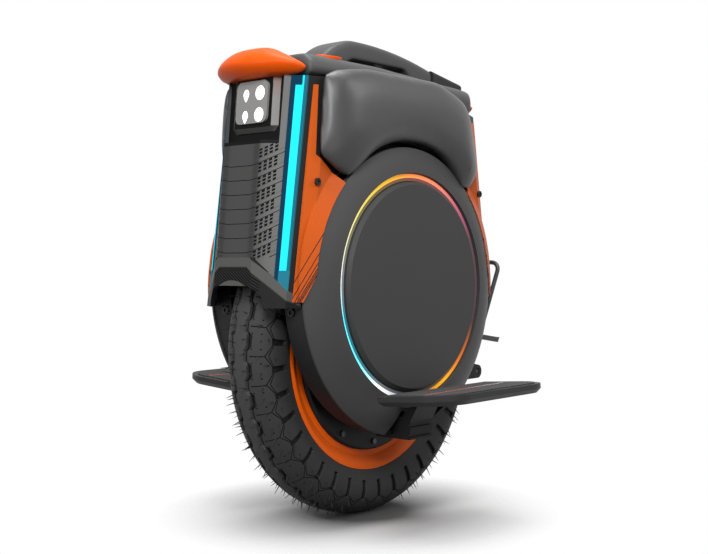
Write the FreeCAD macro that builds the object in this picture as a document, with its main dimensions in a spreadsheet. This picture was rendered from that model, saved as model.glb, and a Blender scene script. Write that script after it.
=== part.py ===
import FreeCAD, Part
import math
import os
from types import SimpleNamespace

import Sketcher

# Electric unicycle in millimetres: +X forward, +Y to the rider's left, +Z up.
# The origin lies on the ground below the axle. Every body is drawn about the axle and then lifted by
# the tyre's radius, so "rise" in this file means height above the axle.

SIZES = (
    # Wheel
    ("tyre_radius", 207.5, "outer radius of the tyre"),
    ("tyre_half_width", 34, "half width of the tyre at its widest"),
    ("sidewall_height", 28, "from the crown down to the widest place"),
    ("shoulder_half_width", 29, "half width of the tread"),
    ("shoulder_drop", 10.5, "from the crown down to the tread's edge"),
    ("tyre_wall", 5, "thickness of the sidewall"),
    ("tread_thickness", 14, "thickness of the tyre at its crown"),
    ("tread_count", 38, "tread blocks round the tyre"),
    ("tread_depth", 5, "depth of the tread's notches"),
    ("notch_width", 7, "width of a shoulder notch along the tread"),
    ("notch_inner_width", 2.8, "width of that notch at its inner end"),
    ("notch_reach", 12, "how far a shoulder notch runs in from the edge"),
    ("groove_width", 4, "width of the zigzag grooves"),
    ("groove_lap", 0.4, "overlap of one groove's length with the next"),
    ("rib_half_width", 8, "half width of the centre rib"),
    ("zigzag", 3, "sideways swing of the grooves"),
    ("bead_radius", 146, "radius of the bead seat"),
    ("flange_height", 5.5, "rim flange above the bead seat"),
    ("flange_width", 4, "thickness of the rim flange"),
    ("rim_half_width", 26, "half width of the rim"),
    ("well_depth", 10.5, "drop centre below the bead seat"),
    ("well_half_width", 9, "half width of the drop centre"),
    ("well_slope", 5.25, "slanted wall of the drop centre"),
    ("dish_depth", 7, "recess in the rim's side"),
    ("dish_radius", 135, "radius where the recess reaches its floor"),
    ("rim_bore", 125, "bore that holds the magnet ring"),
    ("tube_wall", 2, "wall of the inner tube"),
    ("soft_gap", 0.3, "clearance round soft pieces"),
    ("valve_radius", 4, "radius of the valve stem"),
    ("valve_length", 26, "length of the valve stem"),
    ("valve_bore", 2, "hole for the valve in the inner tube"),
    ("valve_lean", 70, "lean of the valve stem to the side, degrees"),
    # Hub motor
    ("magnet_bore", 112, "bore of the magnet ring"),
    ("magnet_half_width", 15, "half width of the magnet ring"),
    ("magnet_count", 40, "magnets in the ring"),
    ("magnet_slot", 2.5, "gap between magnets"),
    ("magnet_height", 4, "height of a magnet"),
    ("cover_lap", 3, "motor cover past the rim's bore"),
    ("cover_thickness", 5, "thickness of the motor cover"),
    ("cover_rebate", 2.5, "slanted edge of the motor cover"),
    ("cover_boss_radius", 34, "boss round the bearing"),
    ("cover_boss_height", 6, "boss above the cover"),
    ("cover_screw_count", 12, "screws in each motor cover"),
    ("cover_screw_circle", 118, "circle of the cover screws"),
    ("screw_head_radius", 3.5, "head of a small screw"),
    ("screw_head_height", 2.4, "height of a small screw's head"),
    ("bearing_radius", 21, "outside of the wheel bearings"),
    ("axle_radius", 10, "radius of the axle"),
    ("collar_radius", 16, "axle's collar in the stator's bore"),
    ("running_gap", 0.05, "radial clearance of shafts in their bores"),
    ("air_gap", 1, "between stator and magnets"),
    ("stator_half_width", 11, "half width of the stator"),
    ("slot_count", 18, "winding slots in the stator"),
    ("slot_depth", 32, "depth of a winding slot"),
    ("slot_width", 14, "width of a winding slot"),
    ("slot_mouth", 3.5, "open mouth of a winding slot"),
    ("coil_overhang", 2, "coil past the stator's side"),
    ("tooth_tip", 5, "stator tooth above the coil"),
    # Frame
    ("well_clearance", 9, "wheel well beside the tyre"),
    ("web_thickness", 4, "web of the frame drum"),
    ("pod_rise", 75.5, "centre of the side shells above the axle"),
    ("pod_radius", 181, "rim of the side shell"),
    ("shell_top_radius", 168, "shell's edge in its upper half"),
    ("shell_flare_top", 15, "where that edge starts to flare, above the shell's centre"),
    ("shell_flare_low", -17, "where the flare reaches the full rim"),
    ("drum_inset", 2, "frame drum inside the shell's rim"),
    ("drum_wall", 4, "wall of the frame drum"),
    ("side_half_width", 72, "half width of the body at its sides"),
    ("arch_gap", 9.5, "wheel arch above the tyre"),
    ("arch_wall", 3, "wall of the wheel arch"),
    ("arch_span", 62.5, "wheel arch to each side of the top, degrees"),
    ("panel_gap", 0.5, "joint between outer panels"),
    # Side shell, ring light and disc cover
    ("lip_height", 2.5, "straight rim of the side shell"),
    ("shell_bulge", 18.5, "shell's crown past the body's side"),
    ("shell_wall", 3, "wall of the side shell"),
    ("dome_radius", 95, "curve of the shell from its rim to the ring"),
    ("ring_radius", 136, "outside of the ring light"),
    ("ring_width", 8.5, "width of the ring light"),
    ("ring_thickness", 2, "thickness of the ring light"),
    ("ring_depth", 6, "ring groove below the shell's crown"),
    ("disc_gap", 1, "between ring light and disc cover"),
    ("disc_height", 8.5, "disc cover above the groove's floor"),
    ("disc_chamfer", 4, "slanted edge of the disc cover"),
    ("hanger_cut_rise", -70.5, "edge of the shell's cut-out for the hanger"),
    ("hanger_cut_front", 24, "front of that cut-out at its top"),
    ("hanger_cut_slant", 20, "how far its front edge leans forward"),
    # Nose
    ("nose_gap", 10.8, "foot of the nose ahead of the tyre"),
    ("nose_lean", 24.2, "how far the nose leans back up to its top"),
    ("chin_foot_rise", 54.5, "lower edge of the chin"),
    ("chin_corner_rise", 60.5, "chin's top edge at the corners"),
    ("chin_top_rise", 110.5, "chin's top edge in the middle"),
    ("chin_arch_rise", 79, "top of the chin's arch over the tyre"),
    ("chin_arch_half_width", 42, "half width of that arch"),
    ("chin_arch_corner", 21, "rounding of that arch"),
    ("chin_proud", 2, "chin ahead of the fascia"),
    ("front_half_width", 29, "half width of the flat middle panel"),
    ("bar_half_spread", 50, "inner edge of a light bar"),
    ("corner_half_width", 63, "outer edge of a light bar"),
    ("corner_setback", 22.5, "corner behind the middle panel at the chin"),
    ("corner_sweep", 13.5, "how much more the corner lies behind at the top"),
    ("cheek_half_width", 65, "half width just behind the corner"),
    ("cheek_setback", 4, "from the corner back to that place"),
    ("cheek_length", 16, "slanted stretch from there to the full width"),
    ("fascia_wall", 3, "wall of the fascia"),
    ("bar_recess", 3.5, "recess that holds a light bar"),
    ("bar_proud", 1.5, "light bar above the fascia"),
    ("lens_half_width", 25, "half width of the headlight lens"),
    ("lens_height", 48.5, "height of the headlight lens"),
    ("lens_top_gap", 3, "lens below the top of the fascia"),
    ("lens_thickness", 3, "thickness of the headlight lens"),
    ("lens_corner", 8, "corner radius of the headlight lens"),
    ("lens_setback", 10.5, "lens behind the nose's middle panel"),
    ("bezel_half_width", 44, "half width of the headlight's surround"),
    ("bezel_foot", 25, "headlight's surround below the lens"),
    ("bezel_depth", 24, "headlight's surround behind the nose's top edge"),
    ("bezel_shelf", 4, "ledge under the groove round the lamp block"),
    ("groove_setback", 20, "floor of that groove behind the nose's middle panel"),
    ("block_border", 4, "lamp block's border round the lens"),
    ("block_flare", 7.5, "how much wider the lamp block is at its foot, to each side"),
    ("block_chin", 6, "height of the lamp block's slanted lower face"),
    ("block_toe", 1.5, "lower edge of that face ahead of the groove's floor"),
    ("lamp_half_width", 6.5, "half width of a lamp"),
    ("lamp_half_height", 8, "half height of a lamp"),
    ("lamp_corner", 4.5, "corner radius of a lamp"),
    ("lamp_spread", 11.5, "lamps to each side of the lens's middle"),
    ("lamp_lift", 10.5, "lamps above and below the lens's middle"),
    ("lamp_thickness", 1.5, "lamp ahead of the lens"),
    # Top
    ("housing_height", 57, "upper housing from its floor to the deck"),
    ("housing_half_length", 116, "half length of the upper housing"),
    ("housing_wall", 3, "wall of the upper housing"),
    ("rear_drop", 16, "how far the top falls from front to rear"),
    ("deck_half_length", 165, "half length of the top deck"),
    ("deck_height", 27, "thickness of the deck at its front"),
    ("deck_fall", 9, "fall of the deck's top to the rear"),
    ("deck_edge", 12, "slanted long edges of the deck"),
    ("deck_corner_length", 20, "slanted rear corners of the deck along its side"),
    ("deck_corner_width", 16, "the same corners along the rear edge"),
    ("recess_front", 60, "front of the finger recess"),
    ("recess_rear", 98, "rear of the finger recess behind the axle"),
    ("recess_half_width", 40, "half width of the finger recess"),
    ("recess_floor", 7, "deck left under the finger recess"),
    ("handle_half_width", 23, "half width of the carry handle"),
    ("handle_front", 98, "front foot of the handle"),
    ("handle_crest", 34, "crest of the handle ahead of the axle"),
    ("handle_rise", 36, "crest above the deck's front"),
    ("handle_rear", 124, "rear foot of the handle behind the axle"),
    ("handle_rear_rise", 18, "handle's rear end above the deck's front"),
    ("handle_grip", 24, "height of the handle's bar"),
    ("handle_front_curve", 95, "curve of the handle ahead of its crest"),
    ("handle_top_curve", 600, "curve of the handle behind its crest"),
    ("handle_edge", 7, "rounding of the handle's long edges"),
    ("trim_half_spread", 27, "handle trim's inner edge"),
    ("trim_width", 13, "width of the handle trim"),
    ("trim_length", 34, "length of the handle trim"),
    ("trim_slant", 10, "slanted ends of the handle trim"),
    ("trim_thickness", 1.5, "thickness of the handle trim"),
    ("visor_pivot", 116.4, "centre of the visor's curve ahead of the axle"),
    ("visor_radius", 91.6, "visor's front edge from that centre"),
    ("visor_height", 33, "height of the visor"),
    ("visor_half_width", 70, "half width of the visor"),
    ("visor_crown_half_width", 22, "half width of the visor's full height"),
    ("visor_tip_height", 10, "height of the visor at its tips"),
    ("visor_lip", 12.5, "height of the visor's slanted underside"),
    ("visor_under", 12, "how far the underside is drawn in from the front edge"),
    ("visor_brow", 22, "crown's front edge behind the visor's front edge"),
    ("rear_visor_radius", 79, "rear visor's edge from the centre of its curve"),
    # Trolley
    ("trolley_rear", 150, "trolley tubes behind the axle"),
    ("trolley_half_spread", 13, "trolley tubes to each side"),
    ("guide_radius", 9, "outside of a guide tube"),
    ("trolley_wall", 1.8, "wall of the trolley's tubes"),
    ("slide_gap", 0.1, "radial clearance of the sliding tubes"),
    ("guide_length", 112, "length of a guide tube"),
    ("grip_front", 126, "front of the trolley grip behind the axle"),
    ("grip_length", 64, "trolley grip from front to rear"),
    ("grip_height", 21, "height of the trolley grip at its front"),
    ("grip_fall", 11, "fall of the grip's top to the rear"),
    ("grip_half_width", 24, "half width of the trolley grip"),
    ("grip_gap", 6, "trolley grip above the deck's rear end"),
    ("grip_edge", 5, "rounding of the trolley grip"),
    # Pads
    ("pad_gap", 2, "pad outside the shell's upper edge"),
    ("pad_arch_radius", 170, "arch under the pad"),
    ("pad_front_top", 147, "pad's upper front corner ahead of the axle"),
    ("pad_front_low", 155, "pad's front edge at its lower end ahead of the axle"),
    ("pad_front_low_rise", 225, "pad's lower front corner above the axle"),
    ("pad_arch_front", 118, "front end of the pad's arch ahead of the axle"),
    ("pad_rear_top", 112, "pad's upper rear corner behind the axle"),
    ("pad_rear_mid", 134, "pad's rear edge behind the axle"),
    ("pad_rear_low", 121, "pad's lower rear tip behind the axle"),
    ("pad_rear_mid_rise", 217.5, "pad's rear edge above the axle"),
    ("pad_top_rise", 317, "pad's upper front corner above the axle"),
    ("pad_crest", 8, "crest of the pad's top edge above that corner"),
    ("pad_crest_front", 85, "front end of that crest ahead of the axle"),
    ("pad_crest_rear", 50, "rear end of that crest behind the axle"),
    ("pad_top_fall", 10, "pad's upper rear corner below the front one"),
    ("pad_thickness", 30, "pad past the body's side"),
    ("pad_side", 14, "pad's drawn-in side up to its widest"),
    ("pad_edge", 6, "straight foot of the pad's front edge"),
    ("pad_bevel", 7, "slant of the pad's front edge above that foot"),
    ("pad_draw", 3, "how far the pad's foot is drawn in"),
    ("pad_crown", 9, "how far the crown is set in from the edge"),
    ("pad_top_inset", 26, "how far the pad's flat is set in from the edge"),
    ("pad_crown_drop", 6, "crown's first step below the flat"),
    # Corner panels
    ("panel_thickness", 2.5, "thickness of the corner panels"),
    ("panel_cone", 186, "outer radius of the corner panel's slanted part"),
    ("panel_lift", 11, "corner panel past the body's side at the shell's edge"),
    ("panel_margin", 1.5, "black edge ahead of the corner panel"),
    ("panel_inner", 100, "inner limit of the corner panels from the axle"),
    ("panel_top_gap", 10, "corner panel below the deck"),
    ("panel_screw_x", 158, "corner panel's screw ahead of the axle"),
    ("panel_screw_rise", 194.5, "corner panel's screw above the axle"),
    # Pedals and hangers
    ("pin_half_spread", 106, "pedal hinge pin to each side"),
    ("pin_rise", -57.5, "pedal hinge pin above the axle"),
    ("pin_radius", 5, "radius of the hinge pin"),
    ("knuckle_radius", 8.5, "outside of the hinge knuckles"),
    ("hanger_half_width", 22, "half width of the hanger"),
    ("knuckle_gap", 0.5, "between knuckles along the pin"),
    ("pedal_knuckle", 20, "length of a pedal knuckle"),
    ("hanger_arm", 11, "thickness of the hanger's arm"),
    ("hanger_top", 17, "hanger's arm above the axle"),
    ("hanger_foot_top", -80, "top of the hanger's foot"),
    ("hanger_foot_bottom", -107, "bottom of the hanger's foot"),
    ("hanger_reach", 99, "outer face of the hanger's foot"),
    ("hanger_rib_depth", 2.5, "grooves in the foot's outer face"),
    ("hanger_rib_width", 4, "width of those grooves"),
    ("hanger_rib_offset", 6, "grooves above and below the middle of that face"),
    ("hanger_play", 1.5, "clearance of the hanger in its cut-outs"),
    ("pedal_half_length", 106, "half length of a pedal"),
    ("pedal_inner", 12, "pedal's inner edge from the pin"),
    ("pedal_outer", 113, "pedal's outer edge from the pin"),
    ("pedal_tilt", 4.2, "pedal's slope up to its outer edge, degrees"),
    ("pedal_top", 10, "pedal's top above the pin"),
    ("pedal_thickness", 11, "thickness of the pedal plate"),
    ("pedal_corner", 40, "outer corners of the pedal"),
    ("pedal_bevel", 5, "slanted lower edge of the pedal"),
    ("grip_inset", 7, "grip sheet inside the pedal's edge"),
    ("grip_sheet", 1.2, "thickness of the grip sheet"),
    # Stand
    ("stand_pivot_rear", 176, "stand's pivot behind the axle"),
    ("stand_pivot_rise", -41.5, "stand's pivot above the axle"),
    ("stand_half_width", 47, "stand's arms to each side"),
    ("stand_wire", 4, "radius of the stand's wire"),
    ("stand_back", 74, "stand's crossbar behind its pivot"),
    ("stand_height", 146, "stand's crossbar above its pivot"),
    ("stand_bend", 14, "bend radius at the stand's corners"),
    ("stand_hook", 6, "bend radius at the stand's stub ends"),
    ("tab_place", 46, "kick tab from the pivot along the stand's arm"),
    ("tab_width", 9, "width of the kick tab"),
    ("tab_length", 45, "length of the kick tab"),
    ("tab_lean", 15, "how far the kick tab leans along the arm"),
    ("tab_thickness", 5, "thickness of the kick tab"),
    ("lug_thickness", 7, "thickness of the stand's lugs"),
    ("lug_radius", 9, "rounded end of the stand's lugs"),
    ("lug_root", 27, "root of the lugs above the pivot"),
    ("foot_radius", 6.5, "rubber foot on the crossbar"),
    ("foot_half_length", 22, "half length of the rubber foot"),
    ("catch_half_width", 8, "half width of the stand's catch"),
    ("catch_height", 10, "height of the stand's catch"),
    # Inside
    ("battery_half_length", 118, "half length of a battery pack"),
    ("battery_low", 28, "battery pack's lower face above the axle"),
    ("battery_high", 190, "battery pack's upper face above the axle"),
    ("battery_thickness", 24, "thickness of a battery pack"),
    ("battery_corner", 41, "slanted upper corners of a battery pack"),
    ("board_half_length", 90, "half length of the controller board"),
    ("board_half_width", 52, "half width of the controller board"),
    ("board_thickness", 2, "thickness of the controller board"),
    ("board_height", 12, "controller board's parts above the board"),
    ("can_radius", 6, "radius of the capacitors on the board"),
    ("can_pitch", 31, "capacitors along the board"),
    ("can_offset", 31, "row of capacitors beside the board's middle"),
    ("driver_half_length", 45, "half length of the drivers' block"),
    ("driver_near", 5, "near edge of that block from the board's middle"),
    ("driver_far", 42, "far edge of that block"),
    ("driver_height", 6, "height of that block"),
    ("sink_half_length", 60, "half length of the heat sink"),
    ("sink_half_width", 38, "half width of the heat sink"),
    ("sink_base", 5, "base of the heat sink"),
    ("fin_count", 9, "fins on the heat sink"),
    ("fin_thickness", 2, "thickness of a fin"),
    # Small controls
    ("button_radius", 9, "radius of the power button"),
    ("button_place", 120, "power button ahead of the axle"),
    ("button_height", 9, "height of the power button"),
    ("button_proud", 2.5, "power button above the deck"),
    ("button_edge", 1.25, "rounding of the power button"),
    ("button_travel", 2, "travel of the power button"),
    ("control_gap", 0.4, "clearance round the buttons"),
    ("switch_half_length", 22, "half length of the lift switch"),
    ("switch_half_width", 9, "half width of the lift switch"),
    ("switch_proud", 3, "lift switch below the handle"),
    ("switch_height", 6, "height of the lift switch"),
    ("switch_travel", 2, "travel of the lift switch"),
    ("port_rise", 150, "charge port above the axle"),
    ("port_plate", 2, "plate round the charge port at its lower edge"),
    ("port_radius", 11, "outside of the charge port"),
    ("port_bore", 8, "bore of the charge port"),
    ("port_depth", 18, "depth of the charge port"),
    ("flap_half_width", 17, "half width of the charge flap"),
    ("flap_height", 34, "height of the charge flap"),
    ("flap_thickness", 3, "thickness of the charge flap"),
    ("flap_pin_radius", 1.6, "hinge pin of the charge flap"),
    ("flap_knuckle", 3.2, "knuckle round that pin"),
    ("flap_ear", 5, "hinge ears beside the flap"),
    ("frame_bolt_radius", 5, "head of a frame bolt"),
    ("frame_bolt_height", 3, "height of a frame bolt's head"),
    ("frame_bolt_spread", 52.7, "frame bolts to each side"),
    ("spot_margin", 0.5, "spot face round a frame bolt"),
    ("frame_bolt_rise", 49, "frame bolts above the axle"),
)

DOC = FreeCAD.newDocument("ElectricUnicycle")
SUB_PARTS = []


class Size:
    """A size that carries both its number and the sheet formula that gives it."""

    def __init__(self, number, formula):
        self.number = number
        self.formula = formula

    def __add__(self, other):
        other = as_size(other)
        return Size(self.number + other.number, f"({self.formula} + {other.formula})")

    def __sub__(self, other):
        other = as_size(other)
        return Size(self.number - other.number, f"({self.formula} - {other.formula})")

    def __mul__(self, other):
        other = as_size(other)
        return Size(self.number * other.number, f"({self.formula} * {other.formula})")

    def __truediv__(self, other):
        other = as_size(other)
        return Size(self.number / other.number, f"({self.formula} / {other.formula})")

    def __neg__(self):
        return Size(-self.number, f"(0 - {self.formula})")


def as_size(value):
    """Turn a plain count or factor into a size; a size is returned as it is."""
    return value if isinstance(value, Size) else Size(float(value), repr(float(value)))


def root(size):
    """Square root of a size."""
    return Size(math.sqrt(size.number), f"sqrt({size.formula})")


def sine(angle):
    """Sine of an angle in degrees."""
    return Size(math.sin(math.radians(angle.number)), f"sin({angle.formula})")


def cosine(angle):
    """Cosine of an angle in degrees."""
    return Size(math.cos(math.radians(angle.number)), f"cos({angle.formula})")


def arc_tangent(ratio):
    """Angle in degrees whose tangent is the ratio."""
    return Size(math.degrees(math.atan(ratio.number)), f"(atan({ratio.formula}) / 1deg)")


def leg(hypotenuse, other):
    """Third side of a right-angled triangle."""
    return root(hypotenuse * hypotenuse - other * other)


def fill_sheet():
    """Write the driving sizes into the sheet and give them back by name."""
    sheet = DOC.addObject("Spreadsheet::Sheet", "Sizes")
    named = {}
    for row, (alias, number, note) in enumerate(SIZES, start=1):
        sheet.set(f"A{row}", alias)
        sheet.set(f"B{row}", str(number))
        sheet.setAlias(f"B{row}", alias)
        sheet.set(f"C{row}", note)
        named[alias] = Size(float(number), f"Sizes.{alias}")
    DOC.recompute()
    return SimpleNamespace(**named)


d = fill_sheet()

# Places that several pieces share
ZERO = as_size(0)
well_half = d.tyre_half_width + d.well_clearance
web_face = well_half + d.web_thickness
drum_radius = d.pod_radius - d.drum_inset
arch_inner = d.tyre_radius + d.arch_gap
arch_outer = arch_inner + d.arch_wall
housing_floor = d.pod_rise + d.pod_radius
deck_foot = housing_floor + d.housing_height
deck_rear_foot = deck_foot - d.rear_drop
deck_top = deck_foot + d.deck_height
pod_height = d.tyre_radius + d.pod_rise
nose_foot = d.tyre_radius + d.nose_gap
bolt_seat = leg(drum_radius, d.pod_rise - d.frame_bolt_rise + d.frame_bolt_radius + d.spot_margin)
nose_slope = d.nose_lean / (deck_foot - d.chin_foot_rise)
groove_floor = d.side_half_width + d.shell_bulge - d.ring_depth
BIG = d.tyre_radius + d.tyre_radius


def corner_back(rise):
    """How far the corner lies behind the middle panel at a height."""
    return d.corner_setback + d.corner_sweep * (rise - d.chin_foot_rise) / (deck_foot - d.chin_foot_rise)


def nose_at(rise):
    """How far ahead of the axle the nose's middle panel is at a height."""
    return nose_foot - (rise - d.chin_foot_rise) * nose_slope


class Corner:
    """One corner of an outline, reached straight or, with a radius, along an arc."""

    def __init__(self, across, along, radius=None, turn=1):
        self.across = as_size(across)
        self.along = as_size(along)
        self.radius = radius
        self.turn = turn

    def vector(self):
        """The corner's place in its sketch."""
        return FreeCAD.Vector(self.across.number, self.along.number, 0)


def corners(*places):
    """Make corners from (across, along[, radius, turn]) places."""
    return [Corner(*place) for place in places]


def mirrored_corners(half):
    """Close a half outline, drawn from one end of its mirror line to the other, to both sides.

    The half runs on the positive side of the first coordinate and holds straight stretches only.
    """
    other = [Corner(-corner.across, corner.along) for corner in reversed(half)]
    return half + other


def new_body(label, lift=True):
    """Start a body; a body drawn about the axle is lifted by the tyre's radius."""
    body = DOC.addObject("PartDesign::Body", label)
    body.Label = label
    if lift:
        body.setExpression("Placement.Base.z", d.tyre_radius.formula)
    return body


def finish(part):
    """Keep an object as one of the sub-parts that are written out."""
    DOC.recompute()
    SUB_PARTS.append(part)
    return part


def new_sketch(body, plane, at):
    """Start a sketch parallel to one of the body's planes, at a coordinate along the plane's axis."""
    sketch = body.newObject("Sketcher::SketchObject", f"{body.Name}_sketch")
    support = next(item for item in body.Origin.OriginFeatures if item.Role == plane)
    sketch.AttachmentSupport = [(support, "")]
    sketch.MapMode = "FlatFace"
    shift = -as_size(at) if plane == "XZ_Plane" else as_size(at)
    sketch.setExpression("AttachmentOffset.Base.z", shift.formula)
    return sketch


def bind(sketch, kind, geometry, point, size):
    """Add a constraint to one point and tie it to the sheet."""
    index = sketch.addConstraint(Sketcher.Constraint(kind, geometry, point, size.number))
    sketch.setExpression(f"Constraints[{index}]", size.formula)


def draw(sketch, outline, closed=True):
    """Draw an outline, or an open path, whose corners and radii are tied to the sheet."""
    starts = []
    ends = []
    for index, corner in enumerate(outline if closed else outline[:-1]):
        following = outline[(index + 1) % len(outline)]
        start = corner.vector()
        end = following.vector()
        if following.radius is None:
            geometry = sketch.addGeometry(Part.LineSegment(start, end), False)
            starts.append((geometry, 1))
            ends.append((geometry, 2))
            continue
        chord = end - start
        middle = (start + end) * 0.5
        reach = math.sqrt(max(following.radius.number ** 2 - (chord.Length / 2) ** 2, 0.0))
        aside = FreeCAD.Vector(-chord.y, chord.x, 0).normalize() * reach * following.turn
        centre = middle + aside
        first, last = (start, end) if following.turn > 0 else (end, start)
        circle = Part.Circle(centre, FreeCAD.Vector(0, 0, 1), following.radius.number)
        arc = Part.ArcOfCircle(circle, circle.parameter(first), circle.parameter(last))
        geometry = sketch.addGeometry(arc, False)
        starts.append((geometry, 1) if following.turn > 0 else (geometry, 2))
        ends.append((geometry, 2) if following.turn > 0 else (geometry, 1))
        index_of_radius = sketch.addConstraint(
            Sketcher.Constraint("Radius", geometry, following.radius.number))
        sketch.setExpression(f"Constraints[{index_of_radius}]", following.radius.formula)
    for index, corner in enumerate(outline):
        geometry, point = starts[index] if index < len(starts) else ends[-1]
        if closed or 0 < index < len(starts):
            sketch.addConstraint(Sketcher.Constraint("Coincident", *ends[index - 1], geometry, point))
        bind(sketch, "DistanceX", geometry, point, corner.across)
        bind(sketch, "DistanceY", geometry, point, corner.along)


def draw_circle(sketch, across, along, radius):
    """Draw a full circle tied to the sheet."""
    across = as_size(across)
    along = as_size(along)
    centre = FreeCAD.Vector(across.number, along.number, 0)
    circle = Part.Circle(centre, FreeCAD.Vector(0, 0, 1), radius.number)
    geometry = sketch.addGeometry(circle, False)
    bind(sketch, "DistanceX", geometry, 3, across)
    bind(sketch, "DistanceY", geometry, 3, along)
    index = sketch.addConstraint(Sketcher.Constraint("Radius", geometry, radius.number))
    sketch.setExpression(f"Constraints[{index}]", radius.formula)


def shape_sketch(body, plane, at, outlines):
    """Draw outlines, and circles given as (across, along, radius) tuples, in one sketch."""
    sketch = new_sketch(body, plane, at)
    for outline in outlines:
        if isinstance(outline, tuple):
            draw_circle(sketch, *outline)
        else:
            draw(sketch, outline)
    return sketch


def extrude(body, plane, start, stop, *outlines):
    """Add material between two coordinates along the plane's axis."""
    start = as_size(start)
    feature_sketch = shape_sketch(body, plane, start, outlines)
    feature = body.newObject("PartDesign::Pad", f"{body.Name}_pad")
    feature.Profile = feature_sketch
    feature.setExpression("Length", (as_size(stop) - start).formula)
    feature.Reversed = plane == "XZ_Plane"
    return feature


def carve(body, plane, start, stop, *outlines):
    """Remove material between two coordinates along the plane's axis."""
    DOC.recompute()
    before = body.Shape.Volume
    start = as_size(start)
    feature_sketch = shape_sketch(body, plane, start, outlines)
    feature = body.newObject("PartDesign::Pocket", f"{body.Name}_pocket")
    feature.Profile = feature_sketch
    feature.setExpression("Length", (as_size(stop) - start).formula)
    feature.Reversed = plane != "XZ_Plane"
    DOC.recompute()
    if body.Shape.Volume >= before:
        raise ValueError(f"a cut in {body.Label} removes nothing")
    return feature


def revolve(body, plane, axis, *outlines):
    """Turn outlines through a full circle about one of the sketch's axes."""
    feature_sketch = shape_sketch(body, plane, ZERO, outlines)
    feature = body.newObject("PartDesign::Revolution", f"{body.Name}_revolution")
    feature.Profile = feature_sketch
    feature.ReferenceAxis = (feature_sketch, [axis])
    feature.Angle = 360
    return feature


def loft(body, plane, *sections):
    """Join outlines at given coordinates along the plane's axis with ruled faces."""
    sketches = [shape_sketch(body, plane, at, [outline]) for at, outline in sections]
    feature = body.newObject("PartDesign::AdditiveLoft", f"{body.Name}_loft")
    feature.Profile = sketches[0]
    feature.Sections = sketches[1:]
    feature.Ruled = True
    return feature


def polar(body, features, count):
    """Repeat features evenly round the axle's direction."""
    axis = next(item for item in body.Origin.OriginFeatures if item.Role == "Y_Axis")
    pattern = body.newObject("PartDesign::PolarPattern", f"{body.Name}_polar")
    pattern.Originals = features
    pattern.Axis = (axis, [""])
    pattern.Angle = 360
    pattern.setExpression("Occurrences", count.formula)
    body.Tip = pattern
    return pattern


def edges_where(body, test):
    """Names of the body's edges whose middle passes a test."""
    DOC.recompute()
    names = []
    for index, edge in enumerate(body.Shape.Edges, start=1):
        middle = edge.CenterOfMass - body.Placement.Base
        if test(edge, middle):
            names.append(f"Edge{index}")
    return names


def soften(body, kind, size, test):
    """Round or bevel the edges that pass a test."""
    names = edges_where(body, test)
    base = body.Tip
    feature = body.newObject(f"PartDesign::{kind}", f"{body.Name}_{kind.lower()}")
    feature.Base = (base, names)
    feature.setExpression("Radius" if kind == "Fillet" else "Size", size.formula)
    return feature


def mirror(label, source, normal):
    """The same piece on the other side of the body."""
    copy = DOC.addObject("Part::Mirroring", label)
    copy.Label = label
    copy.Source = source
    copy.Base = FreeCAD.Vector(0, 0, 0)
    copy.Normal = normal
    return copy


LEFT_RIGHT = FreeCAD.Vector(0, 1, 0)


def group(label, members):
    """Several like solids as one sub-part."""
    together = DOC.addObject("Part::Compound", label)
    together.Label = label
    together.Links = members
    return together


def at_rear(body):
    """Turn a piece drawn for the front half round to the rear."""
    body.Placement.Rotation = FreeCAD.Rotation(FreeCAD.Vector(0, 0, 1), 180)


def near(value, size):
    """Whether a measured coordinate is at a size."""
    return abs(value - size.number) < 0.01


# Wheel


def tyre():
    """Hollow tyre with zigzag grooves beside a centre rib and notched shoulders."""
    body = new_body("tyre")
    widest = d.tyre_radius - d.sidewall_height
    shoulder = d.tyre_radius - d.shoulder_drop
    crown = d.tyre_radius - d.tread_thickness
    bead = d.bead_radius
    seat_outer = d.rim_half_width - d.flange_width - d.soft_gap
    seat_inner = seat_outer - d.tyre_wall
    inner_half = d.tyre_half_width - d.tyre_wall
    half = d.shoulder_half_width
    tread_curve = (half * half + d.shoulder_drop * d.shoulder_drop) / (d.shoulder_drop * 2)
    lip = bead + d.flange_height + d.soft_gap
    outline = corners(
        (seat_inner, bead), (seat_outer, bead), (seat_outer, lip), (d.rim_half_width, lip),
        (d.tyre_half_width, widest), (half, shoulder), (-half, shoulder, tread_curve, 1),
        (-d.tyre_half_width, widest), (-d.rim_half_width, lip), (-seat_outer, lip), (-seat_outer, bead),
        (-seat_inner, bead), (-inner_half, widest), (-half + d.tyre_wall, crown),
        (half - d.tyre_wall, crown), (inner_half, widest))
    revolve(body, "YZ_Plane", "H_Axis", outline)
    pitch = d.tyre_radius * as_size(2 * math.pi) / d.tread_count
    floor = d.tyre_radius - d.tread_depth
    notches = []
    for side in (1, -1):
        inner = (half - d.notch_reach) * side
        outer = (d.tyre_half_width + d.tread_depth) * side
        wide = d.notch_width / 2
        narrow = d.notch_inner_width / 2
        notches.append(corners(
            (narrow, inner), (wide, outer), (-wide, outer), (-narrow, inner)))
    low = shoulder - d.tread_depth
    notch = carve(body, "XY_Plane", low, d.tyre_radius + d.tread_depth, *notches)
    polar(body, [notch], d.tread_count)
    grooves = []
    reach = pitch / 2 + d.groove_lap
    for side in (1, -1):
        near_edge = d.rib_half_width * side
        far_edge = (d.rib_half_width + d.groove_width) * side
        swing = d.zigzag * side
        grooves.append(corners(
            (-reach, near_edge), (ZERO, near_edge + swing), (reach, near_edge),
            (reach, far_edge), (ZERO, far_edge + swing), (-reach, far_edge)))
    groove = carve(body, "XY_Plane", floor, d.tyre_radius + d.tread_depth, *grooves)
    polar(body, [groove], d.tread_count)
    return finish(body)


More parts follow.
